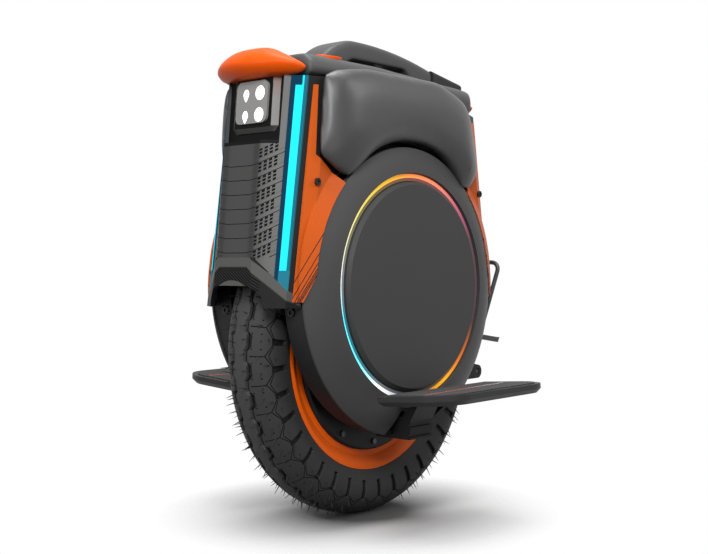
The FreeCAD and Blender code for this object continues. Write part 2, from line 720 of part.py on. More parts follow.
def inner_tube():
    """Soft tube between tyre and rim, open only where the valve enters."""
    body = new_body("inner_tube")
    gap = d.soft_gap
    foot = d.bead_radius
    crown = d.tyre_radius - d.tread_thickness - gap
    widest = d.tyre_radius - d.sidewall_height
    foot_half = d.rim_half_width - d.flange_width - d.tyre_wall - gap * 3
    side_half = d.tyre_half_width - d.tyre_wall - gap * 2
    top_half = d.shoulder_half_width - d.tyre_wall - gap * 2
    wall = d.tube_wall
    outer = corners(
        (foot_half, foot), (side_half, widest), (top_half, crown), (-top_half, crown),
        (-side_half, widest), (-foot_half, foot))
    inner = corners(
        (foot_half - wall, foot + wall), (side_half - wall, widest), (top_half - wall, crown - wall),
        (wall - top_half, crown - wall), (wall - side_half, widest), (wall - foot_half, foot + wall))
    revolve(body, "YZ_Plane", "H_Axis", outer, inner)
    carve(body, "XY_Plane", foot - wall, foot + wall * 2, (ZERO, ZERO, d.valve_bore))
    return finish(body)


def rim():
    """Orange rim with flanges, a drop centre and recessed sides."""
    body = new_body("rim_blank")
    flange = d.bead_radius + d.flange_height
    seat_half = d.rim_half_width - d.flange_width
    well = d.bead_radius - d.well_depth
    floor = d.rim_half_width - d.dish_depth
    shelf = d.well_half_width + d.well_slope
    half = corners(
        (d.well_half_width, well), (shelf, d.bead_radius), (seat_half, d.bead_radius),
        (seat_half, flange), (d.rim_half_width, flange), (d.rim_half_width, d.bead_radius),
        (floor, d.dish_radius), (floor, d.rim_bore))
    revolve(body, "YZ_Plane", "H_Axis", mirrored_corners(half))
    hole = DOC.addObject("Part::Cylinder", "valve_hole")
    hole.setExpression("Radius", d.valve_radius.formula)
    hole.setExpression("Height", (d.valve_length * 2).formula)
    place_valve(hole)
    cut = DOC.addObject("Part::Cut", "rim")
    cut.Label = "rim"
    cut.Base = body
    cut.Tool = hole
    return finish(cut)


def place_valve(piece):
    """Lean a piece drawn along Z out of the rim's drop centre, to the left side."""
    start = d.bead_radius - d.valve_radius - d.soft_gap
    piece.Placement = FreeCAD.Placement(
        FreeCAD.Vector(0, 0, 0), FreeCAD.Rotation(FreeCAD.Vector(1, 0, 0), 180 + d.valve_lean.number))
    piece.setExpression("Placement.Rotation.Angle", (d.valve_lean + 180).formula)
    piece.setExpression("Placement.Base.y", (d.well_half_width - d.soft_gap).formula)
    piece.setExpression("Placement.Base.z", (d.tyre_radius + start).formula)


def valve_stem():
    """Valve that leans out of the rim's side."""
    stem = DOC.addObject("Part::Cylinder", "valve_stem")
    stem.Label = "valve_stem"
    stem.setExpression("Radius", d.valve_radius.formula)
    stem.setExpression("Height", d.valve_length.formula)
    place_valve(stem)
    return finish(stem)


def magnet_ring():
    """Steel ring with magnets inside, pressed into the rim."""
    body = new_body("magnet_ring")
    half = d.magnet_half_width
    outline = corners((half, d.magnet_bore), (half, d.rim_bore), (-half, d.rim_bore), (-half, d.magnet_bore))
    revolve(body, "YZ_Plane", "H_Axis", outline)
    wide = d.magnet_slot / 2
    top = d.magnet_bore + d.magnet_height
    slot = carve(body, "XZ_Plane", -half, half, corners(
        (-wide, d.magnet_bore - d.magnet_height), (wide, d.magnet_bore - d.magnet_height),
        (wide, top), (-wide, top)))
    polar(body, [slot], d.magnet_count)
    return finish(body)


cover_seat = d.rim_half_width - d.dish_depth
cover_face = cover_seat + d.cover_thickness
boss_face = cover_face + d.cover_boss_height


def motor_covers():
    """Black covers that close the motor and carry its bearings."""
    body = new_body("left_motor_cover")
    edge = d.rim_bore + d.cover_lap
    rebate = d.cover_rebate
    outline = corners(
        (cover_seat, d.bearing_radius), (cover_seat, edge), (cover_face - rebate, edge),
        (cover_face, edge - rebate), (cover_face, d.cover_boss_radius + d.cover_boss_height),
        (boss_face, d.cover_boss_radius), (boss_face, d.bearing_radius))
    revolve(body, "YZ_Plane", "H_Axis", outline)
    DOC.recompute()
    other = mirror("right_motor_cover", body, LEFT_RIGHT)
    return finish(group("motor_covers", [body, other]))


def wheel_bearings():
    """Bearings between the motor covers and the axle."""
    body = new_body("left_bearing")
    bore = d.axle_radius + d.running_gap
    outline = corners(
        (cover_seat, bore), (cover_seat, d.bearing_radius), (boss_face, d.bearing_radius), (boss_face, bore))
    revolve(body, "YZ_Plane", "H_Axis", outline)
    DOC.recompute()
    other = mirror("right_bearing", body, LEFT_RIGHT)
    return finish(group("wheel_bearings", [body, other]))


def cover_screws():
    """Screw heads round both motor covers."""
    members = []
    count = int(d.cover_screw_count.number)
    for index in range(count):
        angle = as_size(360 * index) / d.cover_screw_count
        for side in (1, -1):
            start = cover_face if side > 0 else -cover_face
            head = DOC.addObject("Part::Cylinder", "cover_screw")
            head.setExpression("Radius", d.screw_head_radius.formula)
            head.setExpression("Height", d.screw_head_height.formula)
            head.Placement = FreeCAD.Placement(
                FreeCAD.Vector(0, 0, 0), FreeCAD.Rotation(FreeCAD.Vector(1, 0, 0), -90 * side))
            head.setExpression("Placement.Base.x", (d.cover_screw_circle * sine(angle)).formula)
            head.setExpression("Placement.Base.y", start.formula)
            height = d.tyre_radius + d.cover_screw_circle * cosine(angle)
            head.setExpression("Placement.Base.z", height.formula)
            members.append(head)
    return finish(group("cover_screws", members))


# Hub motor's standing half


def axle():
    """Axle with a collar that carries the stator."""
    body = new_body("axle")
    end = web_face + d.hanger_arm
    collar = d.collar_radius
    half = corners(
        (end, ZERO), (end, d.axle_radius), (d.stator_half_width, d.axle_radius), (d.stator_half_width, collar))
    revolve(body, "YZ_Plane", "H_Axis", mirrored_corners(half))
    return finish(body)


stator_radius = d.magnet_bore - d.air_gap


def stator():
    """Stator core with open slots for the coils."""
    body = new_body("stator")
    half = d.stator_half_width
    bore = d.collar_radius
    outline = corners((half, bore), (half, stator_radius), (-half, stator_radius), (-half, bore))
    revolve(body, "YZ_Plane", "H_Axis", outline)
    wide = d.slot_width / 2
    mouth = d.slot_mouth / 2
    low = stator_radius - d.tooth_tip - d.slot_depth
    slot = carve(body, "XZ_Plane", -half, half, corners(
        (-wide, low), (wide, low), (wide, stator_radius - d.tooth_tip),
        (mouth, stator_radius + d.tooth_tip), (-mouth, stator_radius + d.tooth_tip),
        (-wide, stator_radius - d.tooth_tip)))
    polar(body, [slot], d.slot_count)
    return finish(body)


def windings():
    """Copper coils, one block in each slot of the stator."""
    members = []
    low = stator_radius - d.tooth_tip - d.slot_depth
    wide = d.slot_width - d.soft_gap * 2
    half = d.stator_half_width + d.coil_overhang
    for index in range(int(d.slot_count.number)):
        angle = as_size(360 * index) / d.slot_count
        coil = DOC.addObject("Part::Box", "coil")
        coil.setExpression("Length", wide.formula)
        coil.setExpression("Width", (half * 2).formula)
        coil.setExpression("Height", (d.slot_depth - d.soft_gap).formula)
        turn = FreeCAD.Rotation(FreeCAD.Vector(0, 1, 0), angle.number)
        coil.Placement = FreeCAD.Placement(FreeCAD.Vector(0, 0, 0), turn)
        if index:
            coil.setExpression("Placement.Rotation.Angle", angle.formula)
        side = -wide / 2
        across = side * cosine(angle) + low * sine(angle)
        height = low * cosine(angle) - side * sine(angle)
        coil.setExpression("Placement.Base.x", across.formula)
        coil.setExpression("Placement.Base.y", (-half).formula)
        coil.setExpression("Placement.Base.z", (d.tyre_radius + height).formula)
        members.append(coil)
    return finish(group("windings", members))


# Frame


def frame_drum():
    """Open drum beside the wheel: a web with the axle's bore and a round wall."""
    body = new_body("left_frame_drum")
    extrude(body, "XZ_Plane", well_half, d.side_half_width, (ZERO, d.pod_rise, drum_radius))
    inner = drum_radius - d.drum_wall
    carve(body, "XZ_Plane", web_face, d.side_half_width, (ZERO, d.pod_rise, inner))
    carve(body, "XZ_Plane", well_half, web_face, (ZERO, ZERO, d.axle_radius))
    notch = d.hanger_half_width + d.hanger_play
    top = d.hanger_foot_top + d.hanger_play
    carve(body, "XZ_Plane", web_face, d.side_half_width, corners(
        (-notch, -BIG), (notch, -BIG), (notch, top), (-notch, top)))
    wide = d.frame_bolt_radius + d.spot_margin
    left = d.frame_bolt_spread + wide
    right = d.frame_bolt_spread - wide
    high = d.frame_bolt_rise + wide
    low = d.frame_bolt_rise - wide
    spot = corners((left, low), (left, high), (right, high), (right, low))
    carve(body, "YZ_Plane", bolt_seat, BIG, spot)
    carve(body, "YZ_Plane", -BIG, -bolt_seat, spot)
    return finish(body)


def wheel_arch():
    """Inner mudguard between the two drums."""
    body = new_body("wheel_arch")
    across = sine(d.arch_span)
    along = cosine(d.arch_span)
    extrude(body, "XZ_Plane", -well_half, well_half, corners(
        (arch_inner * across, arch_inner * along, arch_inner, -1),
        (arch_outer * across, arch_outer * along),
        (-arch_outer * across, arch_outer * along, arch_outer, 1),
        (-arch_inner * across, arch_inner * along)))
    return finish(body)


def upper_housing():
    """Open tray above the wheel that carries the electronics and the deck."""
    body = new_body("upper_housing")
    half = d.housing_half_length
    outline = corners(
        (half, housing_floor), (half, deck_foot), (-half, deck_rear_foot), (-half, housing_floor))
    extrude(body, "XZ_Plane", -d.side_half_width, d.side_half_width, outline)
    wall = d.housing_wall
    inner = half - wall
    side = d.side_half_width - wall
    carve(body, "XY_Plane", housing_floor + wall, deck_foot + wall, corners(
        (inner, side), (-inner, side), (-inner, -side), (inner, -side)))
    return finish(body)


def heat_sink():
    """Finned heat sink under the housing's floor."""
    body = new_body("heat_sink")
    length = d.sink_half_length
    half = d.sink_half_width
    base = housing_floor - d.sink_base
    extrude(body, "XY_Plane", base, housing_floor, corners(
        (length, half), (-length, half), (-length, -half), (length, -half)))
    pitch = (half * 2 - d.fin_thickness) / (d.fin_count - 1)
    for index in range(int(d.fin_count.number)):
        side = pitch * index - half
        extrude(body, "XY_Plane", arch_outer, base, corners(
            (length, side), (length, side + d.fin_thickness), (-length, side + d.fin_thickness),
            (-length, side)))
    return finish(body)


def controller_board():
    """Board with its tall parts, on the housing's floor."""
    body = new_body("controller_board")
    low = housing_floor + d.housing_wall
    length = d.board_half_length
    half = d.board_half_width
    extrude(body, "XY_Plane", low, low + d.board_thickness, corners(
        (length, half), (-length, half), (-length, -half), (length, -half)))
    top = low + d.board_thickness
    for place in (-2, -1, 0, 1, 2):
        extrude(body, "XY_Plane", top, top + d.board_height, (d.can_pitch * place, d.can_offset, d.can_radius))
    block = d.driver_half_length
    extrude(body, "XY_Plane", top, top + d.driver_height, corners(
        (block, -d.driver_near), (-block, -d.driver_near), (-block, -d.driver_far), (block, -d.driver_far)))
    return finish(body)


def battery_packs():
    """Battery pack inside each drum, above the hanger."""
    body = new_body("left_battery_pack")
    half = d.battery_half_length
    cut = d.battery_corner
    outline = corners(
        (half, d.battery_low), (half, d.battery_high - cut), (half - cut, d.battery_high),
        (cut - half, d.battery_high), (-half, d.battery_high - cut), (-half, d.battery_low))
    extrude(body, "XZ_Plane", web_face, web_face + d.battery_thickness, outline)
    DOC.recompute()
    other = mirror("right_battery_pack", body, LEFT_RIGHT)
    return finish(group("battery_packs", [body, other]))


# Side shell with its ring light and disc cover


def shell_upper_edge():
    """Part cut off the shell's rim in its upper half, measured from the shell's centre."""
    edge = d.shell_top_radius
    spring = leg(edge, d.shell_flare_top)
    past = d.pod_radius + d.pad_gap
    return corners(
        (spring, d.shell_flare_top, edge, -1), (past, d.shell_flare_low), (past, past), (-past, past),
        (-past, d.shell_flare_low), (-spring, d.shell_flare_top))


def side_shell():
    """Domed round shell with a groove for the ring light and a cut-out for the hanger."""
    body = new_body("left_side_shell")
    body.setExpression("Placement.Base.z", pod_height.formula)
    foot = d.side_half_width
    crown = foot + d.shell_bulge
    lip = foot + d.lip_height
    groove = d.ring_radius + d.disc_gap
    floor_back = groove_floor - d.shell_wall
    inner = drum_radius - d.drum_wall
    revolve(body, "YZ_Plane", "H_Axis", corners(
        (foot, inner), (foot, d.pod_radius), (lip, d.pod_radius), (crown, groove, d.dome_radius, -1),
        (groove_floor, groove), (groove_floor, ZERO), (floor_back, ZERO),
        (floor_back, groove), (lip, inner - d.shell_wall)))
    low = d.hanger_cut_rise - d.pod_rise
    front = d.hanger_cut_front
    past = d.pod_radius + d.lip_height
    carve(body, "XZ_Plane", foot, crown + d.lip_height, corners(
        (front, low), (-past, low), (-past, -past), (front + d.hanger_cut_slant, -past)))
    carve(body, "XZ_Plane", foot, crown + d.lip_height, shell_upper_edge())
    return finish(body)


def ring_lights():
    """Glowing rings in the shells' grooves."""
    body = new_body("left_ring_light")
    body.setExpression("Placement.Base.z", pod_height.formula)
    inner = d.ring_radius - d.ring_width
    outline = corners(
        (groove_floor, inner), (groove_floor, d.ring_radius),
        (groove_floor + d.ring_thickness, d.ring_radius), (groove_floor + d.ring_thickness, inner))
    revolve(body, "YZ_Plane", "H_Axis", outline)
    DOC.recompute()
    other = mirror("right_ring_light", body, LEFT_RIGHT)
    return finish(group("ring_lights", [body, other]))


def disc_cover():
    """Flat disc with a slanted edge inside the ring light."""
    body = new_body("left_disc_cover")
    body.setExpression("Placement.Base.z", pod_height.formula)
    edge = d.ring_radius - d.ring_width - d.disc_gap
    face = groove_floor + d.disc_height
    outline = corners(
        (groove_floor, ZERO), (groove_floor, edge), (face - d.disc_chamfer, edge),
        (face, edge - d.disc_chamfer), (face, ZERO))
    revolve(body, "YZ_Plane", "H_Axis", outline)
    return finish(body)


def pad_outline(inset, bevel):
    """Leg pad's outline, drawn in from its edge by an inset, and at its front by a bevel as well."""
    radius = d.pad_arch_radius + inset
    arch_front = d.pad_arch_front - inset
    arch_rear = d.pad_rear_low - inset
    top = d.pad_top_rise - inset
    return corners(
        (arch_front, d.pod_rise + leg(radius, arch_front), radius, -1),
        (d.pad_front_low - inset - bevel, d.pad_front_low_rise + inset),
        (d.pad_front_top - inset - bevel, top), (d.pad_crest_front, top + d.pad_crest),
        (-d.pad_crest_rear, top + d.pad_crest), (-d.pad_rear_top + inset, top - d.pad_top_fall),
        (-d.pad_rear_mid + inset, d.pad_rear_mid_rise),
        (-arch_rear, d.pod_rise + leg(radius, arch_rear)))


def leg_pad():
    """Soft pad above the side shell, with drawn-in sides and a crowned face."""
    body = new_body("left_leg_pad")
    foot = d.side_half_width + d.soft_gap
    top = d.side_half_width + d.pad_thickness
    loft(
        body, "XZ_Plane",
        (foot, pad_outline(d.pad_draw, ZERO)), (foot + d.pad_edge, pad_outline(d.pad_draw, -d.pad_draw)),
        (foot + d.pad_side, pad_outline(ZERO, d.pad_bevel)),
        (top - d.pad_crown_drop, pad_outline(d.pad_crown, d.pad_bevel)),
        (top, pad_outline(d.pad_top_inset, d.pad_bevel)))
    return finish(body)


def corner_panel(label, top, pad_edge):
    """Orange panel from the nose's cheek to the shell's edge, below and ahead of the leg pad.

    It is drawn about the shell's centre: a folded plate along the side, with a slanted part that rises
    to the shell.
    """
    body = new_body(label)
    body.setExpression("Placement.Base.z", pod_height.formula)
    foot = d.side_half_width
    face = foot + d.panel_thickness
    low = d.chin_corner_rise + d.panel_gap
    edge = d.shell_top_radius + d.panel_gap
    slant = (foot - d.cheek_half_width) / d.cheek_length
    lap = d.cheek_half_width + slant * d.panel_margin

    def section(rise):
        bend = facet(rise, d.corner_half_width) - d.cheek_setback
        front = bend - d.panel_margin
        fold = bend - d.cheek_length
        return corners(
            (front, lap), (front, lap + d.panel_thickness), (fold, face), (d.panel_inner, face),
            (d.panel_inner, foot), (fold, foot))

    loft(body, "XY_Plane", (low - d.pod_rise, section(low)), (top - d.pod_rise, section(top)))
    revolve(body, "YZ_Plane", "H_Axis", corners(
        (foot, edge), (foot, d.panel_cone), (face, d.panel_cone), (foot + d.panel_lift, edge)))
    return trim_panel(body, top, pad_edge)


def trim_panel(body, top, pad_edge):
    """Cut a corner panel to the nose's edge, the chin, the leg pad and the shell."""
    foot = d.side_half_width - d.cheek_length
    face = d.side_half_width + d.panel_lift + d.panel_gap
    low = d.chin_corner_rise + d.panel_gap
    far = BIG
    gap = d.panel_gap
    margin = d.cheek_setback + d.panel_margin

    def front(rise):
        return facet(rise, d.corner_half_width) - margin

    ends = [(front(low), low), (front(top), top)]
    pads = [(across + d.pad_gap, rise) for across, rise in pad_edge]
    spring = leg(d.shell_top_radius + gap, d.shell_flare_top)
    past = d.pod_radius + d.pad_gap
    regions = (
        [ends[0], ends[1], (far, top), (far, low)],
        [(-far, -far), (far, -far), (far, low), (-far, low)],
        [(ZERO, -far), *pads, (pads[-1][0], far), (-far, far), (-far, -far)],
        [(ZERO, -far), (past + gap, -far), (past + gap, d.pod_rise + d.shell_flare_low),
         (spring, d.pod_rise + d.shell_flare_top), (ZERO, d.pod_rise + d.shell_flare_top)])
    for region in regions:
        outline = [Corner(across, as_size(rise) - d.pod_rise) for across, rise in region]
        carve(body, "XZ_Plane", foot, face, outline)
    carve(body, "XZ_Plane", foot, face, (ZERO, ZERO, d.shell_top_radius + gap))
    carve(body, "XZ_Plane", foot, d.side_half_width, (ZERO, ZERO, drum_radius))
    return body


def corner_panels():
    """All four corner panels."""
    front = corner_panel("front_left_panel", deck_foot - d.panel_top_gap, [
        (d.pad_arch_front, d.pod_rise + leg(d.pad_arch_radius, d.pad_arch_front) - d.pad_gap),
        (d.pad_front_low, d.pad_front_low_rise), (d.pad_front_top, d.pad_top_rise)])
    rear = corner_panel("rear_right_panel", deck_rear_foot - d.panel_top_gap, [
        (d.pad_rear_low, d.pod_rise + leg(d.pad_arch_radius, d.pad_rear_low) - d.pad_gap),
        (d.pad_rear_mid, d.pad_rear_mid_rise), (d.pad_rear_top, d.pad_top_rise - d.pad_top_fall)])
    at_rear(rear)
    DOC.recompute()
    others = [mirror("front_right_panel", front, LEFT_RIGHT), mirror("rear_left_panel", rear, LEFT_RIGHT)]
    return finish(group("corner_panels", [front, rear, *others]))


# Nose


def facet(rise, across):
    """Place on the slanted facet beside the middle panel, at a height and a distance from the middle."""
    spread = d.corner_half_width - d.front_half_width
    return nose_at(rise) - (across - d.front_half_width) * corner_back(rise) / spread


def nose_section(rise, with_recess, proud):
    """Plan of the fascia at one height, as a folded wall with returns along the sides."""
    wall = d.fascia_wall
    recess = d.bar_recess if with_recess else ZERO
    back = d.housing_half_length
    bar = d.bar_half_spread
    corner = d.corner_half_width
    cheek = facet(rise, corner) - d.cheek_setback
    depth = recess + wall
    half = [
        (d.front_half_width, nose_at(rise) + proud),
        (bar, facet(rise, bar) + proud),
        (bar, facet(rise, bar) + proud - recess),
        (corner, facet(rise, corner) + proud - recess),
        (corner, facet(rise, corner) + proud),
        (d.cheek_half_width, cheek),
        (d.side_half_width, cheek - d.cheek_length),
        (d.side_half_width, back),
        (d.side_half_width - wall, back),
        (d.side_half_width - wall, cheek - d.cheek_length - wall),
        (corner - wall / 2, facet(rise, corner) - depth - wall),
        (bar - wall / 2, facet(rise, bar) - depth - wall / 2),
        (d.front_half_width - wall / 2, nose_at(rise) - wall)]
    if not with_recess:
        del half[1:4]
    return [Corner(place[1], place[0]) for place in half] + [
        Corner(place[1], -place[0]) for place in reversed(half)]


def chin_line(above):
    """Region above or below the chin's folded top edge, as seen from the front."""
    edge = [
        (d.side_half_width + d.fascia_wall, d.chin_corner_rise), (d.front_half_width, d.chin_top_rise),
        (-d.front_half_width, d.chin_top_rise), (-d.side_half_width - d.fascia_wall, d.chin_corner_rise)]
    far = BIG if above else -BIG
    return corners(*edge, (-d.side_half_width - d.fascia_wall, far), (d.side_half_width + d.fascia_wall, far))


lens_top = deck_foot - d.lens_top_gap
lens_foot = lens_top - d.lens_height
lens_middle = (lens_foot + lens_top) / 2
nose_angle = arc_tangent(nose_slope)
bezel_low = lens_foot - d.bezel_foot
bezel_height = deck_foot - bezel_low


def fascia(label, top):
    """Folded wall with recesses for the light bars and an opening at its top."""
    body = new_body(label)
    loft(
        body, "XY_Plane",
        (d.chin_foot_rise, nose_section(d.chin_foot_rise, True, ZERO)), (top, nose_section(top, True, ZERO)))
    carve(body, "YZ_Plane", ZERO, BIG, chin_line(False))
    low = top - bezel_height
    carve(body, "YZ_Plane", ZERO, BIG, corners(
        (d.bezel_half_width, low), (d.bezel_half_width, BIG), (-d.bezel_half_width, BIG), (-d.bezel_half_width, low)))
    span = d.side_half_width + d.fascia_wall
    carve(body, "XZ_Plane", -span, span, (ZERO, d.pod_rise, d.pod_radius))
    return body


def front_fascia():
    """Front wall of the body."""
    return finish(fascia("front_fascia", deck_foot))


def rear_fascia():
    """Rear wall of the body, lower at its top, with a hole for the charge port."""
    body = fascia("rear_fascia", deck_rear_foot)
    carve(body, "YZ_Plane", ZERO, BIG, (ZERO, d.port_rise, d.port_radius))
    at_rear(body)
    return finish(body)


def light_bars(label, top, rear):
    """Light bars in the recesses of the front or rear fascia."""
    inner = d.bar_half_spread
    outer = d.corner_half_width

    def section(rise):
        return corners(
            (facet(rise, inner) + d.bar_proud, inner), (facet(rise, outer) + d.bar_proud, outer),
            (facet(rise, outer) - d.bar_recess, outer), (facet(rise, inner) - d.bar_recess, inner))

    body = new_body(f"{label}_bar")
    loft(body, "XY_Plane", (d.chin_foot_rise, section(d.chin_foot_rise)), (top, section(top)))
    carve(body, "YZ_Plane", ZERO, BIG, chin_line(False))
    if rear:
        at_rear(body)
    DOC.recompute()
    other = mirror(f"{label}_other_bar", body, LEFT_RIGHT)
    return finish(group(label, [body, other]))


def front_light_bars():
    """Light bars at the front."""
    return light_bars("front_light_bars", deck_foot, False)


def rear_light_bars():
    """Light bars at the rear."""
    return light_bars("rear_light_bars", deck_rear_foot, True)


def chin(label):
    """Folded chin under the fascia, arched over the tyre."""
    body = new_body(label)
    loft(
        body, "XY_Plane",
        (d.chin_foot_rise, nose_section(d.chin_foot_rise, False, d.chin_proud)),
        (d.chin_top_rise, nose_section(d.chin_top_rise, False, d.chin_proud)))
    carve(body, "YZ_Plane", ZERO, BIG, chin_line(True))
    half = d.chin_arch_half_width
    bend = d.chin_arch_corner
    spring = d.chin_arch_rise - bend
    carve(body, "YZ_Plane", ZERO, BIG, corners(
        (half, -BIG), (half, spring), (half - bend, d.chin_arch_rise, bend, 1),
        (bend - half, d.chin_arch_rise), (-half, spring, bend, 1), (-half, -BIG)))
    span = d.side_half_width + d.fascia_wall
    carve(body, "XZ_Plane", -span, span, (ZERO, d.pod_rise, d.pod_radius))
    return body


def front_chin():
    """Chin at the front."""
    return finish(chin("front_chin"))


def rear_chin():
    """Chin at the rear."""
    body = chin("rear_chin")
    at_rear(body)
    return finish(body)


def opening_section(rise):
    """Plan of a block that fills the opening at the top of a fascia, flush with it."""
    back = nose_at(deck_foot) - d.bezel_depth
    wide = d.bezel_half_width
    return corners(
        (back, -wide), (facet(rise, wide), -wide), (nose_at(rise), -d.front_half_width),
        (nose_at(rise), d.front_half_width), (facet(rise, wide), wide), (back, wide))


def block_section(rise, reach, narrower):
    """Plan of the lamp block: slanted sides from the groove's floor out to a front of its own reach."""
    back = nose_at(deck_foot) - d.bezel_depth
    floor = nose_at(rise) - d.groove_setback
    front = d.lens_half_width + d.block_border - narrower
    foot = front + d.block_flare
    return corners((back, -foot), (floor, -foot), (reach, -front), (reach, front), (floor, foot), (back, foot))


def lens_face(rise):
    """How far ahead of the axle the lens is at a height; it leans as the nose does."""
    return nose_at(rise) - d.lens_setback


def headlight_bezel():
    """Black surround: a ledge, the floor of a groove, and the lamp block that stands in the groove."""
    body = new_body("headlight_bezel")
    back = nose_at(deck_foot) - d.bezel_depth
    wide = d.bezel_half_width
    shelf = bezel_low + d.bezel_shelf

    def floor_section(rise):
        floor = nose_at(rise) - d.groove_setback
        return corners((back, -wide), (floor, -wide), (floor, wide), (back, wide))

    loft(body, "XY_Plane", (bezel_low, opening_section(bezel_low)), (shelf, opening_section(shelf)))
    loft(body, "XY_Plane", (shelf, floor_section(shelf)), (deck_foot, floor_section(deck_foot)))
    foot = lens_foot - d.block_border
    chin_low = foot - d.block_chin
    toe = nose_at(chin_low) - d.groove_setback + d.block_toe
    lens_seat = d.lens_thickness / cosine(nose_angle)
    loft(
        body, "XY_Plane", (chin_low, block_section(chin_low, toe, d.block_border)),
        (foot, block_section(foot, lens_face(foot) - lens_seat, ZERO)),
        (deck_foot, block_section(deck_foot, lens_face(deck_foot) - lens_seat, ZERO)))
    return finish(body)


def lens_placed(label):
    """Start a body drawn about the middle of the lens and leaned back with it."""
    body = new_body(label, lift=False)
    body.Placement.Rotation = FreeCAD.Rotation(FreeCAD.Vector(0, -1, 0), nose_angle.number)
    body.setExpression("Placement.Rotation.Angle", nose_angle.formula)
    body.setExpression("Placement.Base.x", lens_face(lens_middle).formula)
    body.setExpression("Placement.Base.z", (d.tyre_radius + lens_middle).formula)
    return body


def plate(body, start, stop, middle, half_width, half_height):
    """Rectangular plate parallel to the lens, about a (side, height) middle."""
    side, rise = middle
    extrude(body, "YZ_Plane", start, stop, corners(
        (side + half_width, rise - half_height), (side + half_width, rise + half_height),
        (side - half_width, rise + half_height), (side - half_width, rise - half_height)))


def headlight_lens():
    """Rounded square lens on the front of the lamp block."""
    body = lens_placed("headlight_lens")
    plate(body, -d.lens_thickness, ZERO, (ZERO, ZERO), d.lens_half_width, d.lens_height / 2)
    soften(body, "Fillet", d.lens_corner, lambda edge, middle: near(edge.Length, d.lens_thickness))
    return finish(body)


def headlight_lamps():
    """Four lamps, two by two, on the lens."""
    members = []
    for side in (1, -1):
        for up in (1, -1):
            body = lens_placed("lamp")
            plate(
                body, ZERO, d.lamp_thickness, (d.lamp_spread * side, d.lamp_lift * up),
                d.lamp_half_width, d.lamp_half_height)
            soften(body, "Fillet", d.lamp_corner, lambda edge, spot: near(edge.Length, d.lamp_thickness))
            members.append(body)
    return finish(group("headlight_lamps", members))


def tail_light():
    """Red lens that fills the rear fascia's opening."""
    body = new_body("tail_light")
    low = deck_rear_foot - bezel_height
    loft(body, "XY_Plane", (low, opening_section(low)), (deck_rear_foot, opening_section(deck_rear_foot)))
    at_rear(body)
    return finish(body)


# Top


def top_deck():
    """Sloping deck with a finger recess, button hole and holes for the trolley's guides."""
    body = new_body("top_deck")
    half = d.deck_half_length
    step = d.housing_half_length
    extrude(body, "XZ_Plane", -d.side_half_width, d.side_half_width, corners(
        (half, deck_foot), (half, deck_top), (d.handle_crest, deck_top), (-half, rear_deck_top),
        (-half, deck_rear_foot), (-step, deck_rear_foot), (step, deck_foot)))
    soften(body, "Chamfer", d.deck_edge, lambda edge, middle: (
        near(abs(middle.y), d.side_half_width) and edge.BoundBox.XLength > d.deck_edge.number
        and middle.z > deck_foot.number + d.panel_gap.number))
    past = deck_top + d.deck_edge
    for side in (1, -1):
        edge = d.side_half_width * side
        carve(body, "XY_Plane", deck_rear_foot - d.deck_edge, past, corners(
            (-half, edge - d.deck_corner_width * side), (-half, edge), (d.deck_corner_length - half, edge)))
    wide = d.recess_half_width
    carve(body, "XY_Plane", recess_floor, past, corners(
        (d.recess_front, wide), (-d.recess_rear, wide), (-d.recess_rear, -wide), (d.recess_front, -wide)))
    button_floor = deck_top + d.button_proud - d.button_height - d.button_travel - d.control_gap
    carve(body, "XY_Plane", button_floor, past, (d.button_place, ZERO, d.button_radius + d.control_gap))
    carve(body, "XY_Plane", deck_rear_foot - d.deck_edge, past,
          (-d.trolley_rear, d.trolley_half_spread, d.guide_radius),
          (-d.trolley_rear, -d.trolley_half_spread, d.guide_radius))
    return finish(body)


rear_deck_top = deck_top - d.deck_fall
recess_floor = deck_foot - d.rear_drop / 2 + d.recess_floor
handle_under = deck_top + d.handle_rise - d.handle_grip


def carry_handle():
    """Arched handle over the finger recess."""
    body = new_body("carry_handle")
    crest = deck_top + d.handle_rise
    slope = d.deck_fall / (d.handle_crest + d.deck_half_length)
    rear_seat = deck_top - (d.handle_crest + d.handle_rear) * slope
    foot_seat = deck_top - (d.handle_crest + d.recess_rear) * slope
    inner_rear = d.recess_rear - d.handle_edge
    extrude(body, "XZ_Plane", -d.handle_half_width, d.handle_half_width, corners(
        (d.handle_front, deck_top), (d.handle_crest, crest, d.handle_front_curve, 1),
        (-d.handle_rear, deck_top + d.handle_rear_rise, d.handle_top_curve, 1),
        (-d.handle_rear, rear_seat), (-d.recess_rear, foot_seat),
        (-inner_rear, handle_under - d.handle_grip), (d.handle_grip - inner_rear, handle_under),
        (d.recess_front - d.handle_grip, handle_under), (d.recess_front, deck_top)))
    soften(body, "Fillet", d.handle_edge, lambda edge, middle: (
        near(abs(middle.y), d.handle_half_width) and edge.Curve.TypeId == "Part::GeomCircle"))
    slot_half = d.switch_half_length + d.control_gap
    slot_side = d.switch_half_width + d.control_gap
    depth = d.switch_height - d.switch_proud + d.switch_travel + d.control_gap
    carve(body, "XY_Plane", handle_under, handle_under + depth, corners(
        (slot_half, slot_side), (-slot_half, slot_side), (-slot_half, -slot_side), (slot_half, -slot_side)))
    return finish(body)


def handle_trim():
    """Orange inlays on the deck beside the handle's front foot."""
    members = []
    for side in (1, -1):
        body = new_body("trim")
        inner = d.trim_half_spread * side
        outer = (d.trim_half_spread + d.trim_width) * side
        front = d.handle_front
        extrude(body, "XY_Plane", deck_top, deck_top + d.trim_thickness, corners(
            (front, inner), (front - d.trim_slant, outer), (front - d.trim_length, outer),
            (front - d.trim_length + d.trim_slant, inner)))
        members.append(body)
    return finish(group("handle_trim", members))


